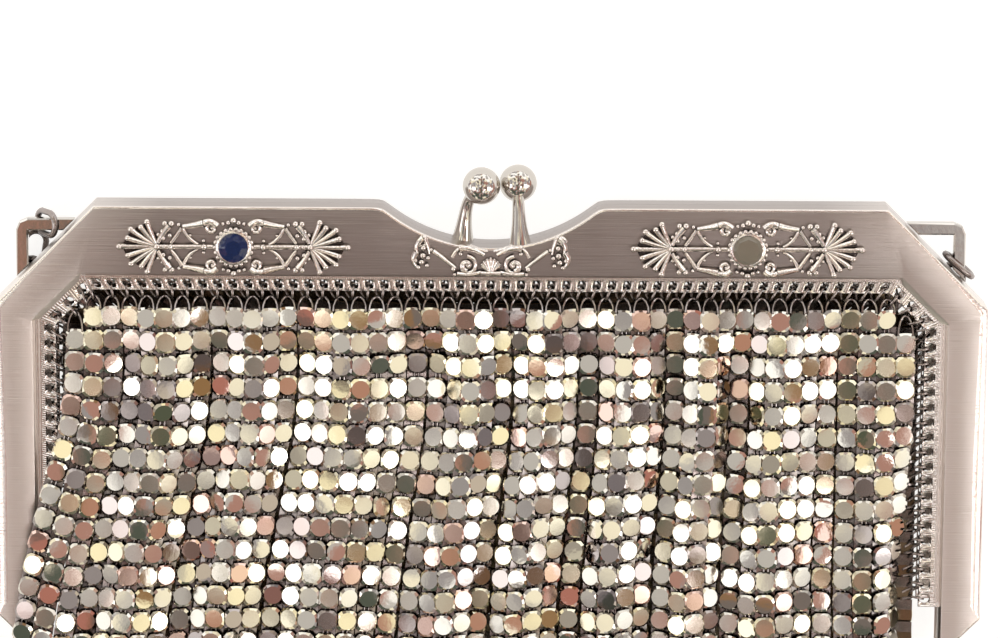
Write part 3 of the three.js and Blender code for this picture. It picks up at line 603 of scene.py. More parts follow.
def clasp_half(sizes, name, material, node, foot_x, ball_x, neck_x, neck_rise, forward):
    """A ball on a bent post: the post's radius falls from the flared foot along a smooth curve."""
    radius = sizes.ball / 2
    low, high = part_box(node)
    centre = np.array([ball_x, high.y - radius, low.z + radius if forward > 0 else high.z - radius])
    dip = (sizes.dip_chord**2 + sizes.dip_depth**2) / (2 * sizes.dip_depth)
    foot_y = TOP_Y - (np.sqrt(dip**2 - foot_x**2) - dip + sizes.dip_depth)
    foot_z = MIDDLE_Z + forward * (FACE_Z - MIDDLE_Z) / 2
    foot = np.array([foot_x, foot_y - 0.3 * MM, foot_z])
    neck = np.array([neck_x, TOP_Y + neck_rise, foot_z - forward * 0.7 * MM])
    share = np.linspace(0, 1, 28)[:, None]
    bend = (1 - share) ** 3 * foot + 3 * (1 - share) ** 2 * share * mix(foot, neck, 0.75)
    bend = bend + 3 * (1 - share) * share**2 * neck + share**3 * mix(neck, centre, 0.75)
    along = share[:, 0]
    foot_flare, collar = 1.0 * MM * np.exp(-along * 5.0), 0.12 * MM * np.exp(-(((along - 0.78) / 0.05) ** 2))
    parts = Parts()
    parts.add(*tube(bend, 0.95 * MM + foot_flare + collar, (0, 0, 1), 20))
    beads(parts, centre, radius, 1.0, 40, 24)
    made = parts.piece(name, material, smooth=50)
    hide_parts(node)
    return made


def chain_link(sizes, around=20, sides=8):
    """A long oval link in the XY plane, its length along x: a circle whose halves are moved apart."""
    radius = (sizes.link_inside + sizes.link_wire) / 2
    turn = np.linspace(0, 2 * np.pi, around, endpoint=False) + np.pi / around
    x = radius * np.cos(turn) + np.sign(np.cos(turn)) * sizes.link_straight / 2
    path = np.stack([x, radius * np.sin(turn), 0 * turn], 1)
    return tube(path, sizes.link_wire / 2, (0, 0, 1), sides, closed=True)


# The chain's way under the purse, from the left ear to the right one: x, y and lift, in millimetres
# from the middle of the top edge, chosen as in the model's source
CHAIN_ROUTE = [
    (-76.2, -6.7, 0.1), (-77.0, -11, 0), (-75.8, -17, 0), (-71.5, -26, 0), (-66, -38, 0),
    (-62, -52, 0), (-60, -68, 0), (-57, -84, 0), (-50.5, -99, 0), (-40, -112, 0),
    (-26, -121, 0), (-9, -125.5, 0), (9, -125.5, 0), (26, -121, 0), (40, -112, 0),
    (50.5, -99, 0), (57, -84, 0), (60, -68, 0), (62, -52, 0), (66, -38, 0),
    (71.5, -26, 0), (75.4, -20.5, 0), (77.3, -16, 0.1), (77.7, -11.6, 0.3),
]
CHAIN_HEIGHT = 2.5 * MM


def chain_line(count):
    """Points evenly along a centripetal Catmull-Rom curve through the chain's route."""
    route = np.array(CHAIN_ROUTE) * MM
    route = np.concatenate([2 * route[:1] - route[1:2], route, 2 * route[-1:] - route[-2:-1]])
    knots = np.concatenate([[0], np.cumsum(np.linalg.norm(np.diff(route, axis=0), axis=1) ** 0.5)])
    t = np.linspace(knots[1], knots[-2], 900)
    i = np.clip(np.searchsorted(knots, t, "right") - 1, 1, len(route) - 3)
    k = [knots[i + n][:, None] for n in (-1, 0, 1, 2)]
    p = [route[i + n] for n in (-1, 0, 1, 2)]
    t = t[:, None]
    a = [mix(p[n], p[n + 1], (t - k[n]) / (k[n + 1] - k[n])) for n in range(3)]
    b = [mix(a[n], a[n + 1], (t - k[n]) / (k[n + 2] - k[n])) for n in range(2)]
    curve = mix(b[0], b[1], (t - k[1]) / (k[2] - k[1]))
    run = np.concatenate([[0], np.cumsum(np.linalg.norm(np.diff(curve, axis=0), axis=1))])
    at = np.linspace(0, run[-1], count)
    line = np.stack([np.interp(at, run, curve[:, n]) for n in range(3)], 1)
    line[:, 1] += TOP_Y
    line[:, 2] += CHAIN_HEIGHT / 2
    return line, run[-1]


def chain_links(sizes, name, material):
    """Links a pitch apart along the chain's way, rolled 24 degrees to one side and the other in turn."""
    pitch = sizes.link_inside + sizes.link_straight
    _, long = chain_line(2)
    count = int(round(long / pitch))
    line, _ = chain_line(2 * count + 1)
    places = line[1::2] + [0, 0, 0.15 * MM]
    along = unit(line[2::2] - line[:-1:2])
    flat = unit(np.cross([0.0, 0.0, 1.0], along))
    roll = np.radians(24) * np.where(np.arange(count) % 2, 1, -1)[:, None]
    side = flat * np.cos(roll) + np.array([0.0, 0.0, 1.0]) * np.sin(roll)
    axes = np.stack([along, side, np.cross(along, side)], 1)
    points, faces = chain_link(sizes)
    parts = Parts()
    parts.add(*copies(points.reshape(-1, 3), faces, places, axes))
    made = parts.piece(name, material, smooth=60)
    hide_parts("chain")
    return made


def ear_link(sizes, name, material, node, turn):
    """The chain's first link, turned as its solid is and set at the middle of the solid's box."""
    low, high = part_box(node)
    points, faces = chain_link(sizes)
    axes = np.array(turn.to_3x3().transposed())[None]
    parts = Parts()
    parts.add(*copies(points.reshape(-1, 3), faces, np.array([(low + high) / 2]), axes))
    made = parts.piece(name, material, smooth=60)
    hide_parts(node)
    return made


# Cast ornaments


def bent_wire(parts, x, y, width, base, taper=1.0, steps=12):
    """A half-round wire lying on the face through three points of a quadratic curve, in millimetres."""
    width = width * CAST_FULLNESS
    share = np.linspace(0, 1, steps)
    ax, bx, cx = x
    ay, by, cy = y
    px = (1 - share) ** 2 * ax + 2 * share * (1 - share) * bx + share**2 * cx
    py = (1 - share) ** 2 * ay + 2 * share * (1 - share) * by + share**2 * cy
    radius = width / 2 * mix(1.0, taper, share) * MM
    path = np.stack([px * MM, py * MM, 0 * px + base], 1)
    path[:, 2] += radius * 0.75
    parts.add(*tube(path, radius, (0, 0, 1), 8, flat=1.15))


def volute(parts, x, y, radius, start, turns, width, base, sense=1):
    """A spiral wire that closes in on (x, y): its radius falls evenly with the angle. Millimetres."""
    share = np.linspace(0, 1, int(18 * abs(turns)))
    angle = np.radians(start) + sense * 2 * np.pi * turns * share
    reach = radius * (1 - 0.78 * share)
    size = width * CAST_FULLNESS / 2 * mix(1.0, 0.75, share) * MM
    x_line, y_line = (x + reach * np.cos(angle)) * MM, (y + reach * np.sin(angle)) * MM
    path = np.stack([x_line, y_line, base + size * 0.75], 1)
    parts.add(*tube(path, size, (0, 0, 1), 8, flat=1.15))
    beads(parts, [[x * MM, y * MM, base + width * 0.45 * MM]], width * 0.62 * MM)


# How much fuller the worn relief is than the lines it was first cut in
CAST_FULLNESS = 1.55

# One quarter of a side ornament, seen from its stone: wires as x and y of start, bend and end with their
# width and end taper, and beads as x, y and diameter, all in millimetres
QUARTER_WIRES = [
    ((2.7, 3.9, 5.0), (3.6, 4.7, 4.0), 0.85, 0.9),
    ((5.0, 6.6, 8.4), (4.0, 3.6, 3.4), 0.95, 0.6),
    ((8.4, 7.9, 5.9), (3.3, 1.4, 0.4), 0.5, 0.8),
    ((8.6, 9.6, 10.4), (3.2, 1.6, 0.6), 0.55, 0.8),
    ((10.6, 11.6, 12.6), (3.6, 2.6, 0.7), 0.8, 0.7),
]
QUARTER_BEADS = [
    (0.85, 4.05, 0.95), (1.75, 3.85, 0.8), (9.1, 3.7, 0.8), (10.3, 3.9, 1.2), (11.4, 3.9, 1.1),
    (10.9, 3.0, 1.0), (11.8, 2.6, 0.95), (10.6, 1.9, 0.9), (11.7, 1.4, 1.0), (12.5, 2.0, 0.8),
    (5.0, 1.0, 0.7), (7.2, 1.9, 0.6),
]
# Beads along its long axis: x and diameter
AXIS_BEADS = [
    (3.9, 0.75), (4.9, 1.25), (5.8, 0.9), (6.8, 0.7), (7.7, 0.85), (8.7, 0.7), (9.6, 0.95), (10.5, 1.1),
    (11.6, 1.0), (12.7, 1.2),
]
# The fan at each end: x of its root and its petals' length in millimetres, the outermost petals' lean in
# degrees, and how many petals there are
FAN_ROOT = 12.6
FAN_REACH = 6.4
FAN_LEAN = 68
FAN_PETALS = 9
GROUND_HEIGHT = 0.28 * MM


def ground(parts, x, y, base):
    """A thin plate of the outline under the fan's petals, in millimetres round its own middle: its dark tone
    is painted shade between them.
    """
    outline = np.stack([np.asarray(x) * MM, np.asarray(y) * MM], 1)
    count = len(outline)
    levels = [np.full(count, z) for z in (base, base + GROUND_HEIGHT)]
    points = np.concatenate([np.column_stack([outline, z]) for z in levels])
    first = np.arange(count)[None]
    parts.add(points, [quads(2, count, False, True), first[:, ::-1], first + count], tag=1.0)


def fan(parts, side, base):
    """Petals that spread from the fan's root over a dark plate of painted shade, each a wire that thickens
    to a bead.
    """
    lean = np.radians(np.linspace(-FAN_LEAN, FAN_LEAN, FAN_PETALS))
    for number, turn in enumerate(lean):
        long = FAN_REACH * (1 - 0.3 * abs(np.sin(turn))) * (1.0 if number % 2 == 0 else 0.88)
        x, y = np.cos(turn) * long, np.sin(turn) * long * 0.98
        spine = [side * (FAN_ROOT + share * x) for share in (0.08, 0.5, 1.0)]
        bent_wire(parts, spine, (0.08 * y, 0.42 * y, y), 0.42, base + 0.1 * MM, 1.6)
        beads(parts, [[side * (FAN_ROOT + x) * MM, y * MM, base + 0.6 * MM]], 0.58 * MM)
    edge = np.radians(np.linspace(-FAN_LEAN, FAN_LEAN, 25))
    long = (FAN_REACH - 0.5) * (1 - 0.3 * np.abs(np.sin(edge)))
    x = np.concatenate([[FAN_ROOT - 1.2], FAN_ROOT + long * np.cos(edge)]) * side
    y = np.concatenate([[0.0], long * np.sin(edge)])
    ground(parts, x[::side], y[::side], base)


def side_ornament(sizes, name, material, node):
    """Beaded bezel, four mirrored quarters of scrolls, and a fan of petals at each end."""
    low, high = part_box(node)
    parts = Parts()
    base = low.z - 0.2 * MM
    for mirror_x in (-1, 1):
        for mirror_y in (-1, 1):
            for (ax, bx, cx), (ay, by, cy), width, taper in QUARTER_WIRES:
                x = [mirror_x * v for v in (ax, bx, cx)]
                bent_wire(parts, x, [mirror_y * v for v in (ay, by, cy)], width, base, taper)
            sense = -mirror_x * mirror_y
            volute(parts, mirror_x * 3.6, mirror_y * 3.1, 1.0, 90 * mirror_y, 1.1, 0.6, base, sense)
            x, y, wide = np.array(QUARTER_BEADS).T * MM
            beads(parts, np.stack([mirror_x * x, mirror_y * y, base + wide * 0.4], 1), wide / 2)
        bent_wire(parts, [mirror_x * v for v in (3.2, 6.5, 12.6)], (0, 0, 0), 0.6, base, 1.0)
        fan(parts, mirror_x, base)
        x, wide = np.array(AXIS_BEADS).T * MM
        beads(parts, np.stack([mirror_x * x, 0 * x, base + wide * 0.45], 1), wide / 2)
    turn = np.linspace(0, 2 * np.pi, 22, endpoint=False)
    rim = np.stack([3.1 * MM * np.cos(turn), 3.1 * MM * np.sin(turn), 0 * turn + base + 0.85 * MM], 1)
    beads(parts, rim, 0.42 * MM)
    beads(parts, [[0, side * 4.45 * MM, base + 0.5 * MM] for side in (-1, 1)], 0.6 * MM)
    radius = sizes.stone / 2
    cup = np.array([(0.9, 0), (0.85, 0.75), (0.35, 1.2), (-0.05, 1.22), (-0.02, 0.95), (-0.6, 0.3)]) * MM
    turned(parts, cup + [radius, base], (0, 0, 0), (0, 0, 1), 40)
    points = np.concatenate(parts.points)
    parts.points = [points + [(low.x + high.x) / 2, (low.y + high.y) / 2, 0]]
    made = parts.piece(name, material, smooth=50)
    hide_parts(node)
    return made


# One half of the centre ornament from its middle at the foot: wires and beads as above, in millimetres
HALF_WIRES = [
    ((9.6, 8.0, 5.9), (4.1, 3.0, 1.2), 0.6, 0.8),
    ((6.4, 5.6, 4.9), (3.0, 4.6, 4.3), 0.5, 0.7),
    ((5.2, 3.2, 1.1), (4.5, 5.0, 3.4), 0.85, 0.6),
    ((3.6, 2.2, 0.5), (4.9, 4.4, 4.0), 0.55, 0.6),
    ((5.6, 3.4, 1.6), (0.2, -0.1, 0.5), 0.7, 0.7),
    ((1.7, 0.9, 0.0), (0.35, 0.2, 0.25), 0.65, 1.0),
    ((11.2, 12.6, 12.3), (6.3, 5.4, 3.9), 0.75, 0.7),
    ((12.3, 13.4, 12.2), (3.9, 2.4, 1.3), 0.8, 0.6),
    ((11.0, 10.4, 10.2), (6.2, 5.0, 3.6), 0.6, 0.7),
]
HALF_BEADS = [
    (11.0, 6.3, 1.0), (11.9, 5.4, 1.0), (11.2, 4.6, 1.1), (12.3, 3.7, 1.0), (11.3, 3.3, 1.2),
    (12.6, 2.5, 1.1), (11.5, 2.2, 1.1), (10.4, 2.9, 0.9), (12.0, 1.3, 0.9), (10.6, 1.6, 0.9),
    (9.9, 4.2, 0.8), (6.2, 1.0, 1.0), (5.9, 0.1, 0.8), (2.6, 0.35, 0.7), (5.0, 3.6, 0.9), (1.2, 3.6, 0.7),
]


def centre_ornament(name, material, node):
    """Two rosettes, a small fluted shell between them, scrolls up to the dip and a cluster at each end."""
    low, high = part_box(node)
    parts = Parts()
    base = low.z - 0.2 * MM
    for mirror in (-1, 1):
        for (ax, bx, cx), y, width, taper in HALF_WIRES:
            bent_wire(parts, [mirror * v for v in (ax, bx, cx)], y, width, base, taper)
        x, y, wide = np.array(HALF_BEADS).T * MM
        beads(parts, np.stack([mirror * x, y, base + wide * 0.4], 1), wide / 2)
        volute(parts, mirror * 3.9, 1.6, 1.65, 90, 1.4, 0.55, base, mirror)
        volute(parts, mirror * 3.9, 1.6, 0.8, -90, 1.0, 0.5, base + 0.2 * MM, mirror)
        volute(parts, mirror * 11.6, 5.6, 0.9, 0, 1.0, 0.5, base, mirror)
    for number, lean in enumerate(np.linspace(-0.9, 0.9, 7)):
        tall = 2.1 - 0.35 * abs(number - 3) / 3
        tip = (np.sin(lean) * tall * 1.05, 0.7 + np.cos(lean) * tall)
        bent_wire(parts, (0.25 * lean, 0.5 * tip[0], tip[0]), (0.5, 1.2, tip[1]), 0.42, base, 1.5)
        beads(parts, [[tip[0] * MM, tip[1] * MM, base + 0.32 * MM]], 0.3 * MM)
    points = np.concatenate(parts.points)
    parts.points = [points + [(low.x + high.x) / 2, low.y + 0.3 * MM, 0]]
    made = parts.piece(name, material, smooth=50)
    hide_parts(node)
    return made


def cut_stone(sizes, name, material, node, table_share):
    """A round stone: a table, a crown of two rows of facets, a girdle and a pavilion of sixteen facets."""
    low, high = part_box(node)
    radius = sizes.stone / 2
    tall = high.z - low.z
    turn = np.linspace(0, 2 * np.pi, 16, endpoint=False)
    even = np.where(np.arange(16) % 2, 0.93, 1.0)
    rings = [
        (0.16, 0.05, 1), (0.97, 0.5, 1), (1, 0.56, 1), (1, 0.66, 1), (mix(1, table_share, 0.55), 0.87, even),
        (table_share, 1.0, even),
    ]
    levels = []
    for wide, share, corners in rings:
        reach = radius * wide * corners
        height = low.z + share * tall + 0 * turn
        levels.append(np.stack([reach * np.cos(turn), reach * np.sin(turn), height], 1))
    points = np.stack(levels)
    points[..., 0] += (low.x + high.x) / 2
    points[..., 1] += (low.y + high.y) / 2
    grid = quads(len(rings), 16, False, True)
    halves = [grid[:, [0, 1, 2]], grid[:, [0, 2, 3]]]
    first = np.arange(16)[None]
    parts = Parts()
    parts.add(points, [*halves, first[:, ::-1], first + (len(rings) - 1) * 16])
    made = parts.piece(name, material, smooth=4)
    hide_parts(node)
    return made


# Disc mesh


# Beside the arms: below is a share of the way from the lip's corner to the arm's tip, left a share of the
# overhang, right of the retreat, rise of the way from the lip to the full height
BESIDE_ARMS = [
    {"below": 0.00, "left": 0.00, "right": 0.00, "rise": 0.10},
    {"below": 0.15, "left": 0.00, "right": 0.00, "rise": 0.25},
    {"below": 0.33, "left": 0.08, "right": 0.26, "rise": 0.45},
    {"below": 0.54, "left": 0.48, "right": 0.66, "rise": 0.72},
    {"below": 0.76, "left": 0.78, "right": 1.00, "rise": 0.93},
    {"below": 1.00, "left": 1.00, "right": 0.86, "rise": 1.00},
]
# Below the arms: below is a share of the way from the tip to the bottom, left and right shares of the way
# from the reach at the tip to the full half width, corner a share of the corners' size by which the sides
# are drawn in, rise a share of the full height
BELOW_ARMS = [
    {"below": 0.070, "left": 0.10, "right": 0.16, "corner": 0.00, "rise": 1.00},
    {"below": 0.170, "left": 0.30, "right": 0.42, "corner": 0.00, "rise": 0.98},
    {"below": 0.310, "left": 0.55, "right": 0.70, "corner": 0.00, "rise": 0.94},
    {"below": 0.470, "left": 0.80, "right": 0.90, "corner": 0.00, "rise": 0.86},
    {"below": 0.630, "left": 1.00, "right": 1.00, "corner": 0.00, "rise": 0.73},
    {"below": 0.800, "left": 1.00, "right": 1.00, "corner": 0.00, "rise": 0.58},
    {"below": 0.920, "left": 0.98, "right": 0.98, "corner": 0.08, "rise": 0.46},
    {"below": 0.975, "left": 0.95, "right": 0.95, "corner": 0.40, "rise": 0.38},
    {"below": 1.000, "left": 0.93, "right": 0.93, "corner": 1.00, "rise": 0.33},
]
BAG_CORNER = 9 * MM
BAG_RISE = 15.2 * MM
LEFT_OVERHANG = 8.2 * MM
RIGHT_RETREAT = 2.4 * MM
SIDE_FOLD = 3 * MM
EDGE_LOOP = 1.3 * MM
FLOOR_ROOM = 0.85 * MM
LEFT_CURL = 1.5 * MM
PLEAT_WANDER = [{"size": 0.22, "waves": 9.4, "start": 0.0}, {"size": 0.10, "waves": 23.0, "start": 1.0}]


class Bag:
    """The bag's surfaces as functions of the drop, from tables like its solid's. Beside the right arm its
    discs leave less of a gap than the solid."""

    def __init__(self, frame_sizes, mesh_sizes):
        self.mesh = mesh_sizes
        lip = frame_edges(frame_sizes)[2]
        self.mouth = lip.inward(0.5 * MM)
        plate = FACE_Z - MIDDLE_Z - frame_sizes.lip_drop
        self.front_lip = MIDDLE_Z + plate + 0.3 * MM
        self.back_lip = MIDDLE_Z - plate - 0.3 * MM
        self.bottom = TOP_Y - BAG_LOW.y
        corner = self.mouth.half - self.mouth.line
        tip = frame_sizes.arm_end + frame_sizes.arm_width + 0.5 * MM
        near = self.mouth.half - EDGE_LOOP
        rows = [(self.mouth.drop, near, near, 0.0, 0, 0, 0)]
        for row in BESIDE_ARMS:
            drop = mix(corner, tip, row["below"])
            left = near + row["left"] * (LEFT_OVERHANG + EDGE_LOOP)
            right = near - row["right"] * RIGHT_RETREAT
            rise = mix(self.front_lip, BAG_RISE, row["rise"]) - self.front_lip
            rows.append((drop, left, right, rise, smooth(row["left"] / 0.3), 0, 0))
        tip_left, tip_right = rows[-1][1], rows[-1][2]
        for row in BELOW_ARMS:
            left = mix(tip_left, BAG_HIGH.x, row["left"])
            right = mix(tip_right, BAG_HIGH.x, row["right"])
            closed = smooth((row["below"]) / 0.07)
            rise = row["rise"] * BAG_RISE - self.front_lip
            rows.append((mix(tip, self.bottom, row["below"]), left, right, rise, 0, closed, row["corner"]))
        table = np.array(rows)
        self.drops = np.linspace(table[0, 0], table[-1, 0], 400)
        window = np.hanning(23) / np.hanning(23).sum()
        self.columns = []
        for column in table.T[1:]:
            dense = np.interp(self.drops, table[:, 0], column)
            padded = np.concatenate([np.full(11, dense[0]), dense, np.full(11, dense[-1])])
            self.columns.append(np.convolve(padded, window, "valid"))
        self.chain = chain_line(160)[0][:, :2]

    def at(self, drop):
        """left, right, top, fold and closed at a drop."""
        columns = [np.interp(drop, self.drops, column) for column in self.columns[:5]]
        left, right, rise, fold, closed = columns
        return left, right, self.front_lip + rise, fold, closed

    def drawn_in(self, drop):
        """How far the rounded bottom corners draw the sides in."""
        return BAG_CORNER * np.interp(drop, self.drops, self.columns[5])

    def pleat(self, across, drop):
        """Cosine pleats whose phase wanders across the bag and drifts as they fall."""
        along = across - 0.28 * drop / self.bottom / self.mesh.pleats
        phase = self.mesh.pleats * along
        for wave in PLEAT_WANDER:
            phase = phase + wave["size"] * np.sin(wave["waves"] * along + wave["start"])
        from_mouth = smooth((drop - self.mouth.drop) / (14 * MM))
        depth = mix(0.35, 1.0, from_mouth) * smooth((self.bottom - drop) / (26 * MM) + 0.25)
        return 0.5 * self.mesh.pleat * depth * (np.cos(2 * np.pi * phase) + 1 - from_mouth)

    def under(self, x, drop, closed):
        """Height of the underside: raised over the chain, and up to the back lip round the mouth."""
        y = TOP_Y - drop
        apart = np.hypot(self.chain[None, :, 0] - x[:, None], self.chain[None, :, 1] - y).min(1)
        over_chain = (CHAIN_HEIGHT + 0.6 * MM) * smooth((24 * MM - apart) / (11 * MM))
        at_mouth = self.back_lip * smooth((self.mouth.drop + 13 * MM - drop) / (13 * MM))
        at_arms = (1 - closed) * self.back_lip * smooth((np.abs(x) - self.mouth.half + 11 * MM) / (11 * MM))
        return np.maximum(np.maximum(over_chain, at_mouth), at_arms) + FLOOR_ROOM * closed

    def front_path(self, drop):
        """x and z across the front at a drop: a quarter of an ellipse up each side, pleats between them."""
        left, right, top, fold, closed = self.at(drop)
        wide = mix(SIDE_FOLD, min(2 * SIDE_FOLD, top / 2), closed)
        over_arm = (top + FACE_Z + 0.5 * MM) / 2
        foot_left = mix(mix(self.front_lip, over_arm, fold), top / 2, closed)
        foot_right = mix(self.front_lip, top / 2, closed)
        turn = np.linspace(0, np.pi / 2, 24)
        across = np.linspace(0, 1, 700)
        edge = smooth(np.minimum(across, 1 - across) * 12)
        left_side, right_side = wide - left - wide * np.cos(turn), right - wide + wide * np.cos(turn[::-1])
        x = np.concatenate([left_side, mix(wide - left, right - wide, across), right_side])
        z = np.concatenate(
            [foot_left + (top - foot_left) * np.sin(turn), top + edge * self.pleat(across, drop),
             foot_right + (top - foot_right) * np.sin(turn[::-1])]
        )
        return x, z

    def back_path(self, drop):
        """x and z across the back at a drop, from the left side to the right one."""
        left, right, top, _, closed = self.at(drop)
        wide = mix(SIDE_FOLD, min(2 * SIDE_FOLD, top / 2), closed)
        mouth = min(self.mouth.half, drop + self.mouth.line)
        turn = np.linspace(0, np.pi / 2, 24)
        ends = -mix(mouth, left, closed), mix(mouth, right, closed)
        inner = ends[0] + wide * closed, ends[1] - wide * closed
        middle = np.linspace(*inner, 300)
        z = self.under(middle, drop, closed)
        reach = wide * closed * np.cos(turn)
        x = np.concatenate([inner[0] - reach, middle, inner[1] + reach[::-1]])
        side = top / 2 * closed
        fall = 1 - np.sin(turn)
        return x, np.concatenate([mix(z[0], side, fall * closed), z, mix(z[-1], side, fall[::-1] * closed)])


def resample(x, z, shares):
    """Points of a line at shares of its length."""
    run = np.concatenate([[0], np.cumsum(np.hypot(np.diff(x), np.diff(z)))])
    return np.interp(shares * run[-1], run, x), np.interp(shares * run[-1], run, z)


def disc_places(bag, front):
    """Middles (rows, columns, 3) of the discs of one side, evenly along each row's line, with the rows
    sagging between the pleats."""
    sizes = bag.mesh
    drops = np.arange(sizes.first_row if front else sizes.back_row, bag.bottom - 1.2 * MM, sizes.rows_apart)
    shares = (np.arange(sizes.columns) + 0.5) / sizes.columns
    rows = []
    for drop in drops:
        x, z = resample(*(bag.front_path(drop) if front else bag.back_path(drop)), shares)
        sag = 0.0
        if front:
            fade = smooth((drop - sizes.first_row) / (30 * MM))
            wave = 0.45 * MM * np.sin(2 * np.pi * 2.5 * shares + 0.6)
            sag = fade * (wave - 0.25 * bag.pleat(shares, drop) - LEFT_CURL * smooth(1 - shares / 0.07))
        rows.append(np.stack([x, np.broadcast_to(TOP_Y - drop, x.shape) - sag, z], 1))
    return drops, np.stack(rows)


def surface_axes(places, outward):
    """Axes of each place on the grid: along the row, up the column made square to it, and their normal."""
    along = unit(np.gradient(places, axis=1))
    down = np.gradient(places, axis=0)
    normal = unit(np.cross(along, -down)) * outward
    return np.stack([along * outward, np.cross(normal, along * outward), normal], -2)


def disc(sizes):
    """A disc: a round flat, very slightly domed, a bevel to a rim that is nearly square, and a flat back.
    The rim's outline is |x|^4 + |y|^4 = 1."""
    turn = (np.arange(16) + 0.5) * np.pi / 8
    circle = np.stack([np.cos(turn), np.sin(turn)], 1)
    square = circle / (np.abs(circle) ** 4).sum(1, keepdims=True) ** 0.25
    half, flat = np.array([sizes.disc, sizes.disc_tall]) / 2, sizes.flat / 2
    rings = [(circle * flat, -0.02 * MM), (square * half, -0.3 * MM), (square * half * 0.96, -0.46 * MM)]
    points = np.concatenate([np.column_stack([xy, np.full(16, z)]) for xy, z in rings] + [[[0, 0, 0]]])
    first = np.arange(16)
    fan = np.stack([np.full(16, 48), first, (first + 1) % 16], 1)
    return points, [fan, quads(3, 16, False, True)[:, ::-1]], [first[None, ::-1] + 32]


def strand(sizes):
    """What joins a disc to the next row: two short wires side by side that bridge the gap, and under them
    the flat bar of the tabs that are bent over them."""
    reach = sizes.rows_apart / 2
    y = np.array([-1.25 * MM, -reach, -2 * reach + 1.25 * MM])
    z = np.array([-0.75, -0.6, -0.75]) * MM
    wires = [tube(np.stack([0 * y + x, y, z], 1), 0.13 * MM, (1, 0, 0), 5) for x in (-0.36 * MM, 0.36 * MM)]
    wide, low = 0.47 * sizes.disc, -1.0 * MM
    bar = tube([[-wide, -reach, low], [wide, -reach, low]], 1.0 * MM, (0, 0, 1), 5, flat=0.12)
    points, faces, count = [], [], 0
    for made, groups in (*wires, bar):
        points.append(made.reshape(-1, 3))
        faces += [group + count for group in groups]
        count += len(points[-1])
    return np.concatenate(points), [np.concatenate(faces[n::3]) for n in range(3)]


def seen_discs(bag, drops, places, front):
    """Which discs exist: those clear of the mouth's shoulders and inside the rounded bottom corners."""
    room = drops[:, None] - 1.6 * MM + bag.mouth.line - (1.2 * MM if front else -1.2 * MM)
    apart = np.abs(places[..., 0])
    corner = bag.drawn_in(drops)[:, None]
    in_corner = (apart < BAG_HIGH.x - corner - 2 * MM) | (corner < 0.5 * MM)
    return ((apart < room) | (drops[:, None] > bag.mouth.half - bag.mouth.line + 4 * MM)) & in_corner


def disc_mesh(bag, name, material, front, seed):
    """One side of the bag: every disc on its place, tilted a little at random, with its own tone."""
    drops, places = disc_places(bag, front)
    axes = surface_axes(places, 1 if front else -1)
    kept = seen_discs(bag, drops, places, front)
    spots, frames = places[kept], axes[kept]
    random = np.random.default_rng(seed)
    lean = random.normal(0, bag.mesh.tilt * (1 if front else 0.5), (len(spots), 2))
    lean[random.random(len(spots)) < 0.15] *= 1.9
    normal = unit(frames[:, 2] + lean[:, :1] * frames[:, 0] + lean[:, 1:] * frames[:, 1])
    along = unit(frames[:, 0] - (frames[:, 0] * normal).sum(1, keepdims=True) * normal)
    frames = np.stack([along, np.cross(normal, along), normal], 1)
    points, shown, hidden = disc(bag.mesh)
    parts = Parts()
    moved, faces = copies(points, [*shown, *hidden], spots, frames)
    tone = random.random(len(spots))
    parts.add(moved, faces)
    parts.tags = [np.repeat(tone, 16), np.repeat(tone, 32), np.full(len(spots), -1.0)]
    made = parts.piece(name, material, smooth=12)
    return made, drops, places, axes, kept


def mesh_strands(bag, name, material, places, axes, kept):
    """The wires between the rows, under the rims of the discs."""
    joined = kept[:-1] & kept[1:]
    down = places[1:] - places[:-1]
    normal = axes[:-1, :, 2] + axes[1:, :, 2]
    down = unit(down)[joined]
    normal = unit(normal[joined] - (normal[joined] * down).sum(1, keepdims=True) * down)
    frames = np.stack([np.cross(-down, normal), -down, normal], 1)
    points, faces = strand(bag.mesh)
    parts = Parts()
    parts.add(*copies(points, faces, places[:-1][joined], frames))
    return parts.piece(name, material, smooth=50)


def hanging_loops(frame_sizes, name, material, drops, places, kept, facing):
    """Bent wires from the spiral round the lip to the discs: an arch over each disc at the top, and a
    straight stretched pair to each disc at the sides."""
    parts = Parts()
    plate = FACE_Z - MIDDLE_Z - frame_sizes.lip_drop - frame_sizes.sheet / 2
    hang = MIDDLE_Z + facing * plate
    lip = frame_edges(frame_sizes)[2]
    first = np.argmax(kept, axis=0)
    columns = np.flatnonzero(kept.any(axis=0))
    top = places[first[columns], columns]
    half = 1.25 * MM
    lip_drop = np.maximum(lip.drop, np.abs(top[:, 0]) - lip.line)
    rise = TOP_Y - lip_drop - 1.0 * MM - (top[:, 1] + 1.3 * MM)
    near = rise < 4.5 * MM
    turn = np.linspace(0, np.pi, 9)
    for spot, up in zip(top[near], np.maximum(rise[near], 0.6 * MM)):
        x, y = spot[0] - half * np.cos(turn), spot[1] + 1.3 * MM + up * np.sin(turn)
        path = np.stack([x, y, mix(spot[2] - 0.3 * MM, hang, np.sin(turn))], 1)
        parts.add(*tube(path, 0.23 * MM, (0, 0, 1), 6))
    for row in range(1, len(drops)):
        if drops[row] > lip_end(frame_sizes):
            break
        columns = np.flatnonzero(kept[row])
        for column, side in ((columns[0], -1), (columns[-1], 1)):
            spot = places[row, column]
            edge = side * min(lip.half, drops[row] + lip.line)
            if side * spot[0] > side * edge - 0.8 * MM:
                continue
            for shift in (-0.55 * MM, 0.55 * MM):
                start = np.array([edge - side * 0.9 * MM, spot[1] + 1.6 * shift, hang])
                end = spot + [side * 1.4 * MM, shift, -facing * 0.3 * MM]
                share = np.linspace(0, 1, 5)[:, None]
                path = mix(start, end, share)
                parts.add(*tube(path, 0.22 * MM, (0, 0, 1), 6))
    return parts.piece(name, material, smooth=60)


# Materials


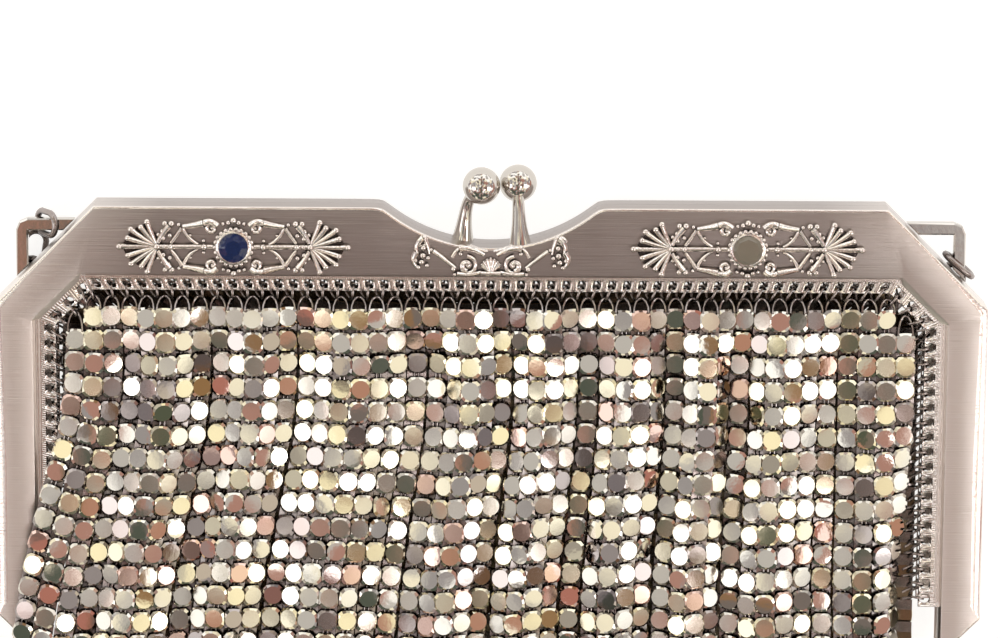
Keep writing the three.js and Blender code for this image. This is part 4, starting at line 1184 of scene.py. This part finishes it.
def add_node(tree, kind, inputs=None, **settings):
    """A shader node with its settings. Each input is the socket that feeds it, or its own value."""
    made = tree.nodes.new(kind)
    for name, value in settings.items():
        setattr(made, name, value)
    for name, value in (inputs or {}).items():
        if isinstance(value, bpy.types.NodeSocket):
            tree.links.new(value, made.inputs[name])
        else:
            made.inputs[name].default_value = value
    return made


def new_material(name):
    """An empty node material with its Principled shader and tree."""
    made = bpy.data.materials.new(name)
    made.use_nodes = True
    made.node_tree.nodes.clear()
    output = made.node_tree.nodes.new("ShaderNodeOutputMaterial")
    shader = made.node_tree.nodes.new("ShaderNodeBsdfPrincipled")
    made.node_tree.links.new(shader.outputs["BSDF"], output.inputs["Surface"])
    return made, made.node_tree, shader


def feed(tree, shader, **sockets):
    """Links sockets to the shader's inputs, named in lower case with _ for a space."""
    for name, socket in sockets.items():
        tree.links.new(socket, shader.inputs[name.replace("_", " ").title()])


def object_place(tree, scale=(1, 1, 1)):
    """Object coordinates, stretched."""
    place = add_node(tree, "ShaderNodeTexCoord").outputs["Object"]
    return add_node(tree, "ShaderNodeMapping", {"Vector": place, "Scale": scale}).outputs["Vector"]


def toned(tone, share=1.0):
    """A colour whose channels are times a share, with its alpha."""
    return (*[min(channel * share, 1) for channel in tone[:3]], 1)


def brushed_silver_plate(colours):
    """Silver plate brushed along the frame: hair lines a quarter of a millimetre apart spread the
    reflections up and down and leave them sharp along the lines. Towards the ends of the arms its colour
    lightens, a painted reflection of the side lights, and it is polished on its edges and its lip, where
    the tag attribute is 1."""
    material, tree, shader = new_material("brushed_silver_plate")
    hair, patches = object_place(tree, (90, 4200, 900)), object_place(tree, (60, 160, 160))
    lines = add_node(tree, "ShaderNodeTexNoise", {"Vector": hair, "Scale": 1, "Detail": 5}).outputs["Fac"]
    cloud = add_node(tree, "ShaderNodeTexNoise", {"Vector": patches, "Scale": 1, "Detail": 3}).outputs["Fac"]
    worn = add_node(tree, "ShaderNodeMapRange", {"Value": cloud, "From Min": 0.35, "From Max": 0.65})
    tones = {"Factor": lines, "A": toned(colours.silver, 0.8), "B": toned(colours.silver, 1.15)}
    tone = add_node(tree, "ShaderNodeMix", tones, data_type="RGBA").outputs["Result"]
    tones = {"Factor": worn.outputs["Result"], "A": tone, "B": toned(colours.silver)}
    tone = add_node(tree, "ShaderNodeMix", tones, data_type="RGBA").outputs["Result"]
    # Painted reflection: towards the ends of the arms the colour turns to the bright plate colour, standing
    # for the side lights that the brushed plate catches there.
    place = add_node(tree, "ShaderNodeTexCoord").outputs["Object"]
    across = add_node(tree, "ShaderNodeSeparateXYZ", {"Vector": place}).outputs["X"]
    apart = add_node(tree, "ShaderNodeMath", {0: across}, operation="ABSOLUTE").outputs[0]
    arm_reflection = add_node(tree, "ShaderNodeMapRange", {"Value": apart, "From Min": 0.055, "From Max": 0.079})
    tones = {"Factor": arm_reflection.outputs["Result"], "A": tone, "B": toned(colours.bright)}
    tone = add_node(tree, "ShaderNodeMix", tones, data_type="RGBA").outputs["Result"]
    edge = add_node(tree, "ShaderNodeAttribute", attribute_name="tag").outputs["Fac"]
    tones = {"Factor": edge, "A": tone, "B": toned(colours.bright)}
    tone = add_node(tree, "ShaderNodeMix", tones, data_type="RGBA").outputs["Result"]
    rough = add_node(tree, "ShaderNodeMapRange", {"Value": lines, "To Min": 0.24, "To Max": 0.4})
    rough = add_node(tree, "ShaderNodeMix", {"Factor": edge, "A": rough.outputs["Result"], "B": 0.12})
    bump = add_node(tree, "ShaderNodeBump", {"Height": lines, "Strength": 0.9, "Distance": 0.00006})
    feed(tree, shader, base_color=tone, roughness=rough.outputs["Result"], normal=bump.outputs["Normal"])
    shader.inputs["Metallic"].default_value = 1
    return material


def polished_silver_plate(colours):
    """Silver plate polished to a mirror, with faint scratches that soften it a little."""
    material, tree, shader = new_material("polished_silver_plate")
    scratches = {"Vector": object_place(tree), "Scale": 900, "Detail": 6}
    wear = add_node(tree, "ShaderNodeTexNoise", scratches).outputs["Fac"]
    rough = add_node(tree, "ShaderNodeMapRange", {"Value": wear, "To Min": 0.03, "To Max": 0.12})
    bump = add_node(tree, "ShaderNodeBump", {"Height": wear, "Strength": 0.25, "Distance": 0.00002})
    feed(tree, shader, roughness=rough.outputs["Result"], normal=bump.outputs["Normal"])
    shader.inputs["Base Color"].default_value = toned(colours.polish)
    shader.inputs["Metallic"].default_value = 1
    return material


def plated_wire(colours):
    """Plated wire and bar, rubbed dull in use, with painted shade: darker where parts meet and crowd round
    it.
    """
    material, tree, shader = new_material("plated_wire")
    grain = {"Vector": object_place(tree), "Scale": 700, "Detail": 4}
    wear = add_node(tree, "ShaderNodeTexNoise", grain).outputs["Fac"]
    # Painted shade: ambient occlusion darkens the wire towards the tarnish colour near other parts.
    hollow = add_node(tree, "ShaderNodeAmbientOcclusion", {"Distance": 0.005}, samples=8).outputs["AO"]
    share = add_node(tree, "ShaderNodeMapRange", {"Value": hollow, "From Min": 0.3, "From Max": 0.8})
    tones = {"Factor": share.outputs["Result"], "A": toned(colours.dark, 0.6), "B": toned(colours.silver)}
    tone = add_node(tree, "ShaderNodeMix", tones, data_type="RGBA").outputs["Result"]
    rough = add_node(tree, "ShaderNodeMapRange", {"Value": wear, "To Min": 0.12, "To Max": 0.3})
    bump = add_node(tree, "ShaderNodeBump", {"Height": wear, "Strength": 0.3, "Distance": 0.00004})
    feed(tree, shader, base_color=tone, roughness=rough.outputs["Result"], normal=bump.outputs["Normal"])
    shader.inputs["Metallic"].default_value = 1
    return material


def cast_silver(colours):
    """Cast relief: light on its tops and darker towards its hollows by ambient occlusion, partly the brown
    tarnish of its hollows and partly painted shade where its wires crowd and meet the face, slightly
    grained by the mould. Its sunk ground, where the tag attribute is 1, is a dark tone of painted shade."""
    material, tree, shader = new_material("cast_silver")
    grains = {"Vector": object_place(tree), "Scale": 2200, "Detail": 3}
    grain = add_node(tree, "ShaderNodeTexNoise", grains).outputs["Fac"]
    # Partly tarnish, partly painted shade: ambient occlusion darkens the relief near the face and between
    # its wires.
    hollow = add_node(tree, "ShaderNodeAmbientOcclusion", {"Distance": 0.0011}, samples=8).outputs["AO"]
    share = add_node(tree, "ShaderNodeMapRange", {"Value": hollow, "From Min": 0.3, "From Max": 0.75})
    tones = {"Factor": share.outputs["Result"], "A": toned(colours.dark), "B": toned(colours.bright)}
    relief = add_node(tree, "ShaderNodeMix", tones, data_type="RGBA").outputs["Result"]
    # Painted shade: the plate under the fans is a dark silver standing for the shade between the petals.
    sunk = add_node(tree, "ShaderNodeAttribute", attribute_name="tag").outputs["Fac"]
    tones = {"Factor": sunk, "A": relief, "B": toned(colours.silver, 0.3)}
    tone = add_node(tree, "ShaderNodeMix", tones, data_type="RGBA").outputs["Result"]
    bump = add_node(tree, "ShaderNodeBump", {"Height": grain, "Strength": 0.5, "Distance": 0.00008})
    feed(tree, shader, base_color=tone, normal=bump.outputs["Normal"])
    shader.inputs["Roughness"].default_value = 0.14
    shader.inputs["Metallic"].default_value = 1
    return material


def set_steps(node, steps):
    """Gives a colour ramp hard steps, each a position and a colour with alpha."""
    node.color_ramp.interpolation = "CONSTANT"
    ramp = node.color_ramp.elements
    ramp[1].position = steps[1][0]
    for position, _ in steps[2:]:
        ramp.new(position)
    for number, (_, tone) in enumerate(steps):
        ramp[number].color = tone


def mesh_plate(colours):
    """Plated discs, each with fine scratches and each in a tone picked at random: mostly the plain plate,
    some warm, grey or pink, partly real differences in wear and partly painted reflection of the room. The
    backs are a darker brown, partly unpolished metal and partly painted shade of the bag's inside, and
    ambient occlusion paints shade where the discs crowd. The tag attribute is a random number for each disc,
    and below zero on its unpolished back."""
    material, tree, shader = new_material("mesh_plate")
    tag = add_node(tree, "ShaderNodeAttribute", attribute_name="tag").outputs["Fac"]
    tones = add_node(tree, "ShaderNodeValToRGB", {"Fac": tag})
    # Tones at random per disc: partly real differences in wear, partly painted reflection of the room's warm
    # and pink patches.
    kinds = [(0.0, colours.mesh), (0.55, colours.gold), (0.8, colours.silver), (0.93, colours.rose)]
    set_steps(tones, [(position, toned(tone)) for position, tone in kinds])
    # Partly unpolished metal, partly painted shade: the backs face the bag's shaded inside and take a darker
    # brown.
    back = add_node(tree, "ShaderNodeMath", {0: tag, 1: -0.5}, operation="LESS_THAN").outputs[0]
    tones = {"Factor": back, "A": tones.outputs["Color"], "B": toned(colours.back)}
    plate = add_node(tree, "ShaderNodeMix", tones, data_type="RGBA").outputs["Result"]
    # Painted shade: ambient occlusion darkens the discs towards the tarnish colour where discs, wires and
    # frame crowd together.
    hollow = add_node(tree, "ShaderNodeAmbientOcclusion", {"Distance": 0.004}, samples=8).outputs["AO"]
    open_air = add_node(tree, "ShaderNodeMapRange", {"Value": hollow, "From Min": 0.15, "From Max": 0.6})
    tones = {"Factor": open_air.outputs["Result"], "A": toned(colours.dark), "B": plate}
    tone = add_node(tree, "ShaderNodeMix", tones, data_type="RGBA").outputs["Result"]
    ripples = {"Vector": object_place(tree), "Scale": 560, "Detail": 2}
    scratches = {"Vector": object_place(tree, (2600, 500, 900)), "Scale": 1, "Detail": 2}
    ripple = add_node(tree, "ShaderNodeTexNoise", ripples).outputs["Fac"]
    scratch = add_node(tree, "ShaderNodeTexNoise", scratches).outputs["Fac"]
    height = add_node(tree, "ShaderNodeMath", {0: scratch, 1: 0.1, 2: ripple}, operation="MULTIPLY_ADD")
    relief = {"Height": height.outputs[0], "Strength": 0.35, "Distance": 0.00003}
    bump = add_node(tree, "ShaderNodeBump", relief)
    wear = add_node(tree, "ShaderNodeMath", {0: tag, 1: 7.3}, operation="MULTIPLY").outputs[0]
    part = add_node(tree, "ShaderNodeMath", {0: wear}, operation="FRACT").outputs[0]
    rough = add_node(tree, "ShaderNodeMapRange", {"Value": part, "To Min": 0.04, "To Max": 0.22})
    feed(tree, shader, base_color=tone, roughness=rough.outputs["Result"], normal=bump.outputs["Normal"])
    shader.inputs["Metallic"].default_value = 1
    return material


def cut_glass(name, tone):
    """Cut glass over a dark cup: clear enough to show its facets from within."""
    material, tree, shader = new_material(name)
    shader.inputs["Base Color"].default_value = toned(tone)
    shader.inputs["Roughness"].default_value = 0.02
    shader.inputs["IOR"].default_value = 1.55
    shader.inputs["Transmission Weight"].default_value = 0.45
    scratches = {"Vector": object_place(tree), "Scale": 1500, "Detail": 2}
    wear = add_node(tree, "ShaderNodeTexNoise", scratches).outputs["Fac"]
    bump = add_node(tree, "ShaderNodeBump", {"Height": wear, "Strength": 0.1, "Distance": 0.00001})
    feed(tree, shader, normal=bump.outputs["Normal"])
    return material


def paper(colours):
    """Matt white paper lit evenly from below, so that hardly a shadow shows on it."""
    material, _, shader = new_material("paper")
    shader.inputs["Base Color"].default_value = toned(colours.floor, 0.38)
    shader.inputs["Roughness"].default_value = 0.9
    shader.inputs["Emission Color"].default_value = toned(colours.floor)
    shader.inputs["Emission Strength"].default_value = 0.92
    return material


# Stage


# Patches of the room that the metal shows, from the darkest to the brightest
ROOM_TONES = [
    (0.00, "#4A5048"), (0.16, "#6A625F"), (0.27, "#80644A"), (0.31, "#A0796F"), (0.40, "#8E8A8C"),
    (0.52, "#B0ADAB"), (0.62, "#E9E2CC"), (0.80, "#FFFFFF"),
]
ROOM_STRENGTH = 1.7
# Where the room grows lighter or darker: the direction's part (wide is how far it is to either side), the
# stretch over which that happens, and the change at both ends of it
ROOM_SHIFTS = [
    {"along": "wide", "low": 0.03, "high": 0.11, "first": -0.14, "last": 0.2},
    {"along": "wide", "low": 0.14, "high": 0.5, "first": 0.0, "last": -0.06},
    {"along": "Z", "low": 0.66, "high": 0.5, "first": 0.0, "last": 0.2},
    {"along": "Y", "low": -0.45, "high": -0.7, "first": 0.0, "last": -0.45},
]


def studio_world():
    """A room seen in the metal: patches of many tones, darker straight overhead, where the camera stands,
    brighter to both sides and near the horizon, and dark again low down on the near side."""
    world = bpy.data.worlds.new("studio")
    world.use_nodes = True
    tree = world.node_tree
    tree.nodes.clear()
    way = add_node(tree, "ShaderNodeTexCoord").outputs["Generated"]
    patches = add_node(tree, "ShaderNodeTexVoronoi", {"Vector": way, "Scale": 4.6, "Randomness": 1.0})
    pick = add_node(tree, "ShaderNodeSeparateColor", {"Color": patches.outputs["Color"]}).outputs[0]
    axes = add_node(tree, "ShaderNodeSeparateXYZ", {"Vector": way}).outputs
    wide = add_node(tree, "ShaderNodeMath", {0: axes["X"]}, operation="ABSOLUTE").outputs[0]
    level = add_node(tree, "ShaderNodeMath", {0: pick, 1: 0.74}, operation="MULTIPLY").outputs[0]
    for shift in ROOM_SHIFTS:
        value = wide if shift["along"] == "wide" else axes[shift["along"]]
        stretch = {"From Min": shift["low"], "From Max": shift["high"]}
        change = {"Value": value, **stretch, "To Min": shift["first"], "To Max": shift["last"]}
        change = add_node(tree, "ShaderNodeMapRange", change).outputs["Result"]
        level = add_node(tree, "ShaderNodeMath", {0: level, 1: change}, operation="ADD").outputs[0]
    tones = add_node(tree, "ShaderNodeValToRGB", {"Fac": level})
    set_steps(tones, [(position, linear(code)) for position, code in ROOM_TONES])
    light = {"Color": tones.outputs["Color"], "Strength": ROOM_STRENGTH}
    background = add_node(tree, "ShaderNodeBackground", light).outputs["Background"]
    add_node(tree, "ShaderNodeOutputWorld", {"Surface": background})
    return world


def soft_lamp(name, direction, distance, width, power):
    """A square soft lamp that looks at the frame's middle."""
    data = bpy.data.lights.new(name, "AREA")
    data.energy = power
    data.size = width
    data.shape = "SQUARE"
    lamp = bpy.data.objects.new(name, data)
    aim = Vector((0, TOP_Y - 20 * MM, FACE_Z))
    away = Vector(direction).normalized()
    lamp.location = aim + away * distance
    lamp.rotation_mode = "QUATERNION"
    lamp.rotation_quaternion = (-away).to_track_quat("-Z", "Y")
    bpy.context.scene.collection.objects.link(lamp)


# Operators


def finished(piece, slot, *nodes):
    """Lets a new piece ride on the purse's body and hides the solids that it stands for. The slot is not
    used.
    """
    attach(piece, "root")
    if nodes:
        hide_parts(*nodes)
    return piece


def dress(node, material):
    """Gives a solid that stays its material."""
    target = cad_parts[node]
    target.data.materials.clear()
    target.data.materials.append(material)


class PURSE_OT_stage(bpy.types.Operator):
    """Camera, lamps, room and floor"""

    bl_idname = "purse.stage"
    bl_label = "Stage"

    def execute(self, context):
        scene, settings = context.scene, context.scene.purse_stage
        camera = bpy.data.objects.new("camera", bpy.data.cameras.new("camera"))
        aim = Vector((settings.aim_x, TOP_Y - settings.aim_drop, FACE_Z))
        back = Vector((0, np.sin(settings.tilt), np.cos(settings.tilt)))
        up = Vector((0, np.cos(settings.tilt), -np.sin(settings.tilt)))
        turn = Matrix((Vector((1, 0, 0)), up, back)).transposed()
        place = Matrix.Translation(aim + back * settings.distance)
        camera.matrix_world = place @ turn.to_4x4() @ Matrix.Rotation(settings.roll, 4, "Z")
        camera.data.lens = camera.data.sensor_width * settings.distance / settings.across
        camera.data.clip_start = 0.01
        scene.collection.objects.link(camera)
        scene.camera = camera
        scene.world = studio_world()
        scene.view_settings.view_transform = "Standard"
        for name, side in (("lamp_left", -1), ("lamp_right", 1)):
            soft_lamp(name, (side * 0.72, -0.1, 0.68), 0.6, 0.22, settings.lamp)
        soft_lamp("lamp_high", (0.32, -0.22, 0.93), 1.2, 0.16, settings.high_lamp)
        floor = bpy.data.meshes.new("floor")
        floor.from_pydata([(x, y, 0) for x, y in ((-2, -2), (2, -2), (2, 2), (-2, 2))], [], [(0, 1, 2, 3)])
        floor.materials.append(paper(scene.purse_colours))
        ground = bpy.data.objects.new("floor", floor)
        scene.collection.objects.link(ground)
        return {"FINISHED"}


class PURSE_OT_frame(bpy.types.Operator):
    """The two pressed halves, the rivets and the wire that sews the mesh to them"""

    bl_idname = "purse.frame"
    bl_label = "Frame"

    def execute(self, context):
        sizes, colours = context.scene.purse_frame, context.scene.purse_colours
        brushed, wire = brushed_silver_plate(colours), plated_wire(colours)
        for name, node, facing in (("front_half", "frame_front", 1), ("back_half", "frame_back", -1)):
            finished(frame_half(sizes, name, brushed, facing), "frame_silver", node)
        for name, facing in (("sewing_wire_front", 1), ("sewing_wire_back", -1)):
            finished(spiral_wire(sizes, name, wire, facing), "fitting_silver")
        for node in ("hinge_rivet_left", "hinge_rivet_right"):
            dress(node, wire)
        for node in ("ear_left", "ear_right"):
            dress(node, polished_silver_plate(colours))
        return {"FINISHED"}


class PURSE_OT_clasp(bpy.types.Operator):
    """The kiss-lock's two balls on their posts"""

    bl_idname = "purse.clasp"
    bl_label = "Clasp"

    def execute(self, context):
        sizes, colours = context.scene.purse_frame, context.scene.purse_colours
        silver = polished_silver_plate(colours)
        back = clasp_half(
            sizes, "clasp_post_back", silver, "clasp_back", -4.75 * MM, -1.6 * MM, -4.1 * MM, 0.6 * MM, -1
        )
        front = clasp_half(
            sizes, "clasp_post_front", silver, "clasp_front", 4.9 * MM, 4.5 * MM, 4.5 * MM, 1.2 * MM, 1
        )
        finished(back, "clasp_silver")
        finished(front, "clasp_silver")
        return {"FINISHED"}


class PURSE_OT_chain(bpy.types.Operator):
    """The handle chain and its first links"""

    bl_idname = "purse.chain"
    bl_label = "Chain"

    def execute(self, context):
        sizes, colours = context.scene.purse_mesh, context.scene.purse_colours
        wire = plated_wire(colours)
        finished(chain_links(sizes, "chain_links", wire), "fitting_silver")
        left = Matrix.Rotation(np.radians(-55), 4, "Y")
        right = Matrix.Rotation(np.radians(-40), 4, "Z") @ Matrix.Rotation(np.radians(90), 4, "X")
        finished(ear_link(sizes, "first_link_left", wire, "ear_link_left", left), "fitting_silver")
        finished(ear_link(sizes, "first_link_right", wire, "ear_link_right", right), "fitting_silver")
        return {"FINISHED"}


class PURSE_OT_ornaments(bpy.types.Operator):
    """The cast ornaments and their stones"""

    bl_idname = "purse.ornaments"
    bl_label = "Ornaments"

    def execute(self, context):
        sizes, colours = context.scene.purse_frame, context.scene.purse_colours
        cast = cast_silver(colours)
        for side in ("left", "right"):
            finished(side_ornament(sizes, f"relief_{side}", cast, f"ornament_{side}"), "cast_silver")
        finished(centre_ornament("relief_centre", cast, "ornament_centre"), "cast_silver")
        blue, grey = cut_glass("blue_glass", colours.blue), cut_glass("grey_glass", colours.grey)
        finished(cut_stone(sizes, "cut_stone_left", blue, "stone_left", 0.55), "stone_blue")
        finished(cut_stone(sizes, "cut_stone_right", grey, "stone_right", 0.8), "stone_grey")
        return {"FINISHED"}


class PURSE_OT_mesh(bpy.types.Operator):
    """The disc mesh, the strands between its rows and the wires that hang it"""

    bl_idname = "purse.mesh"
    bl_label = "Disc mesh"

    def execute(self, context):
        scene = context.scene
        bag = Bag(scene.purse_frame, scene.purse_mesh)
        plate, wire = mesh_plate(scene.purse_colours), plated_wire(scene.purse_colours)
        for side, front, facing, seed in (("front", True, 1, 11), ("back", False, -1, 12)):
            panel, drops, places, axes, kept = disc_mesh(bag, f"mesh_{side}", plate, front, seed)
            finished(panel, "mesh_silver", "mesh_bag")
            strands = mesh_strands(bag, f"strands_{side}", wire, places, axes, kept)
            finished(strands, "mesh_silver")
            made = drops, places, kept, facing
            loops = hanging_loops(scene.purse_frame, f"loops_{side}", wire, *made)
            finished(loops, "mesh_silver")
        return {"FINISHED"}


class PURSE_PT_panel(bpy.types.Panel):
    """The purse's pieces and sizes"""

    bl_idname = "PURSE_PT_panel"
    bl_label = "Metal mesh purse"
    bl_space_type = "VIEW_3D"
    bl_region_type = "UI"
    bl_category = "Purse"

    def draw(self, context):
        for operator in OPERATORS:
            self.layout.operator(operator.bl_idname)
        for group in GROUPS:
            box = self.layout.box()
            for name in GROUPS[group].__annotations__:
                box.prop(getattr(context.scene, group), name)


GROUPS = {
    "purse_frame": PurseFrameSizes,
    "purse_mesh": PurseMeshSizes,
    "purse_colours": PurseColours,
    "purse_stage": PurseStageSettings,
}
OPERATORS = [
    PURSE_OT_stage, PURSE_OT_frame, PURSE_OT_clasp, PURSE_OT_chain, PURSE_OT_ornaments, PURSE_OT_mesh,
]
CLASSES = [*GROUPS.values(), *OPERATORS, PURSE_PT_panel]


def register():
    """Registers the classes and their settings."""
    for item in CLASSES:
        bpy.utils.register_class(item)
    for name, group in GROUPS.items():
        setattr(bpy.types.Scene, name, bpy.props.PointerProperty(type=group))


def unregister():
    """Takes the classes and their settings out again."""
    for name in GROUPS:
        delattr(bpy.types.Scene, name)
    for item in reversed(CLASSES):
        bpy.utils.unregister_class(item)


def main():
    """Makes everything in order."""
    register()
    for operator in OPERATORS:
        group, name = operator.bl_idname.split(".")
        getattr(getattr(bpy.ops, group), name)()


if __name__ == "__main__":
    main()
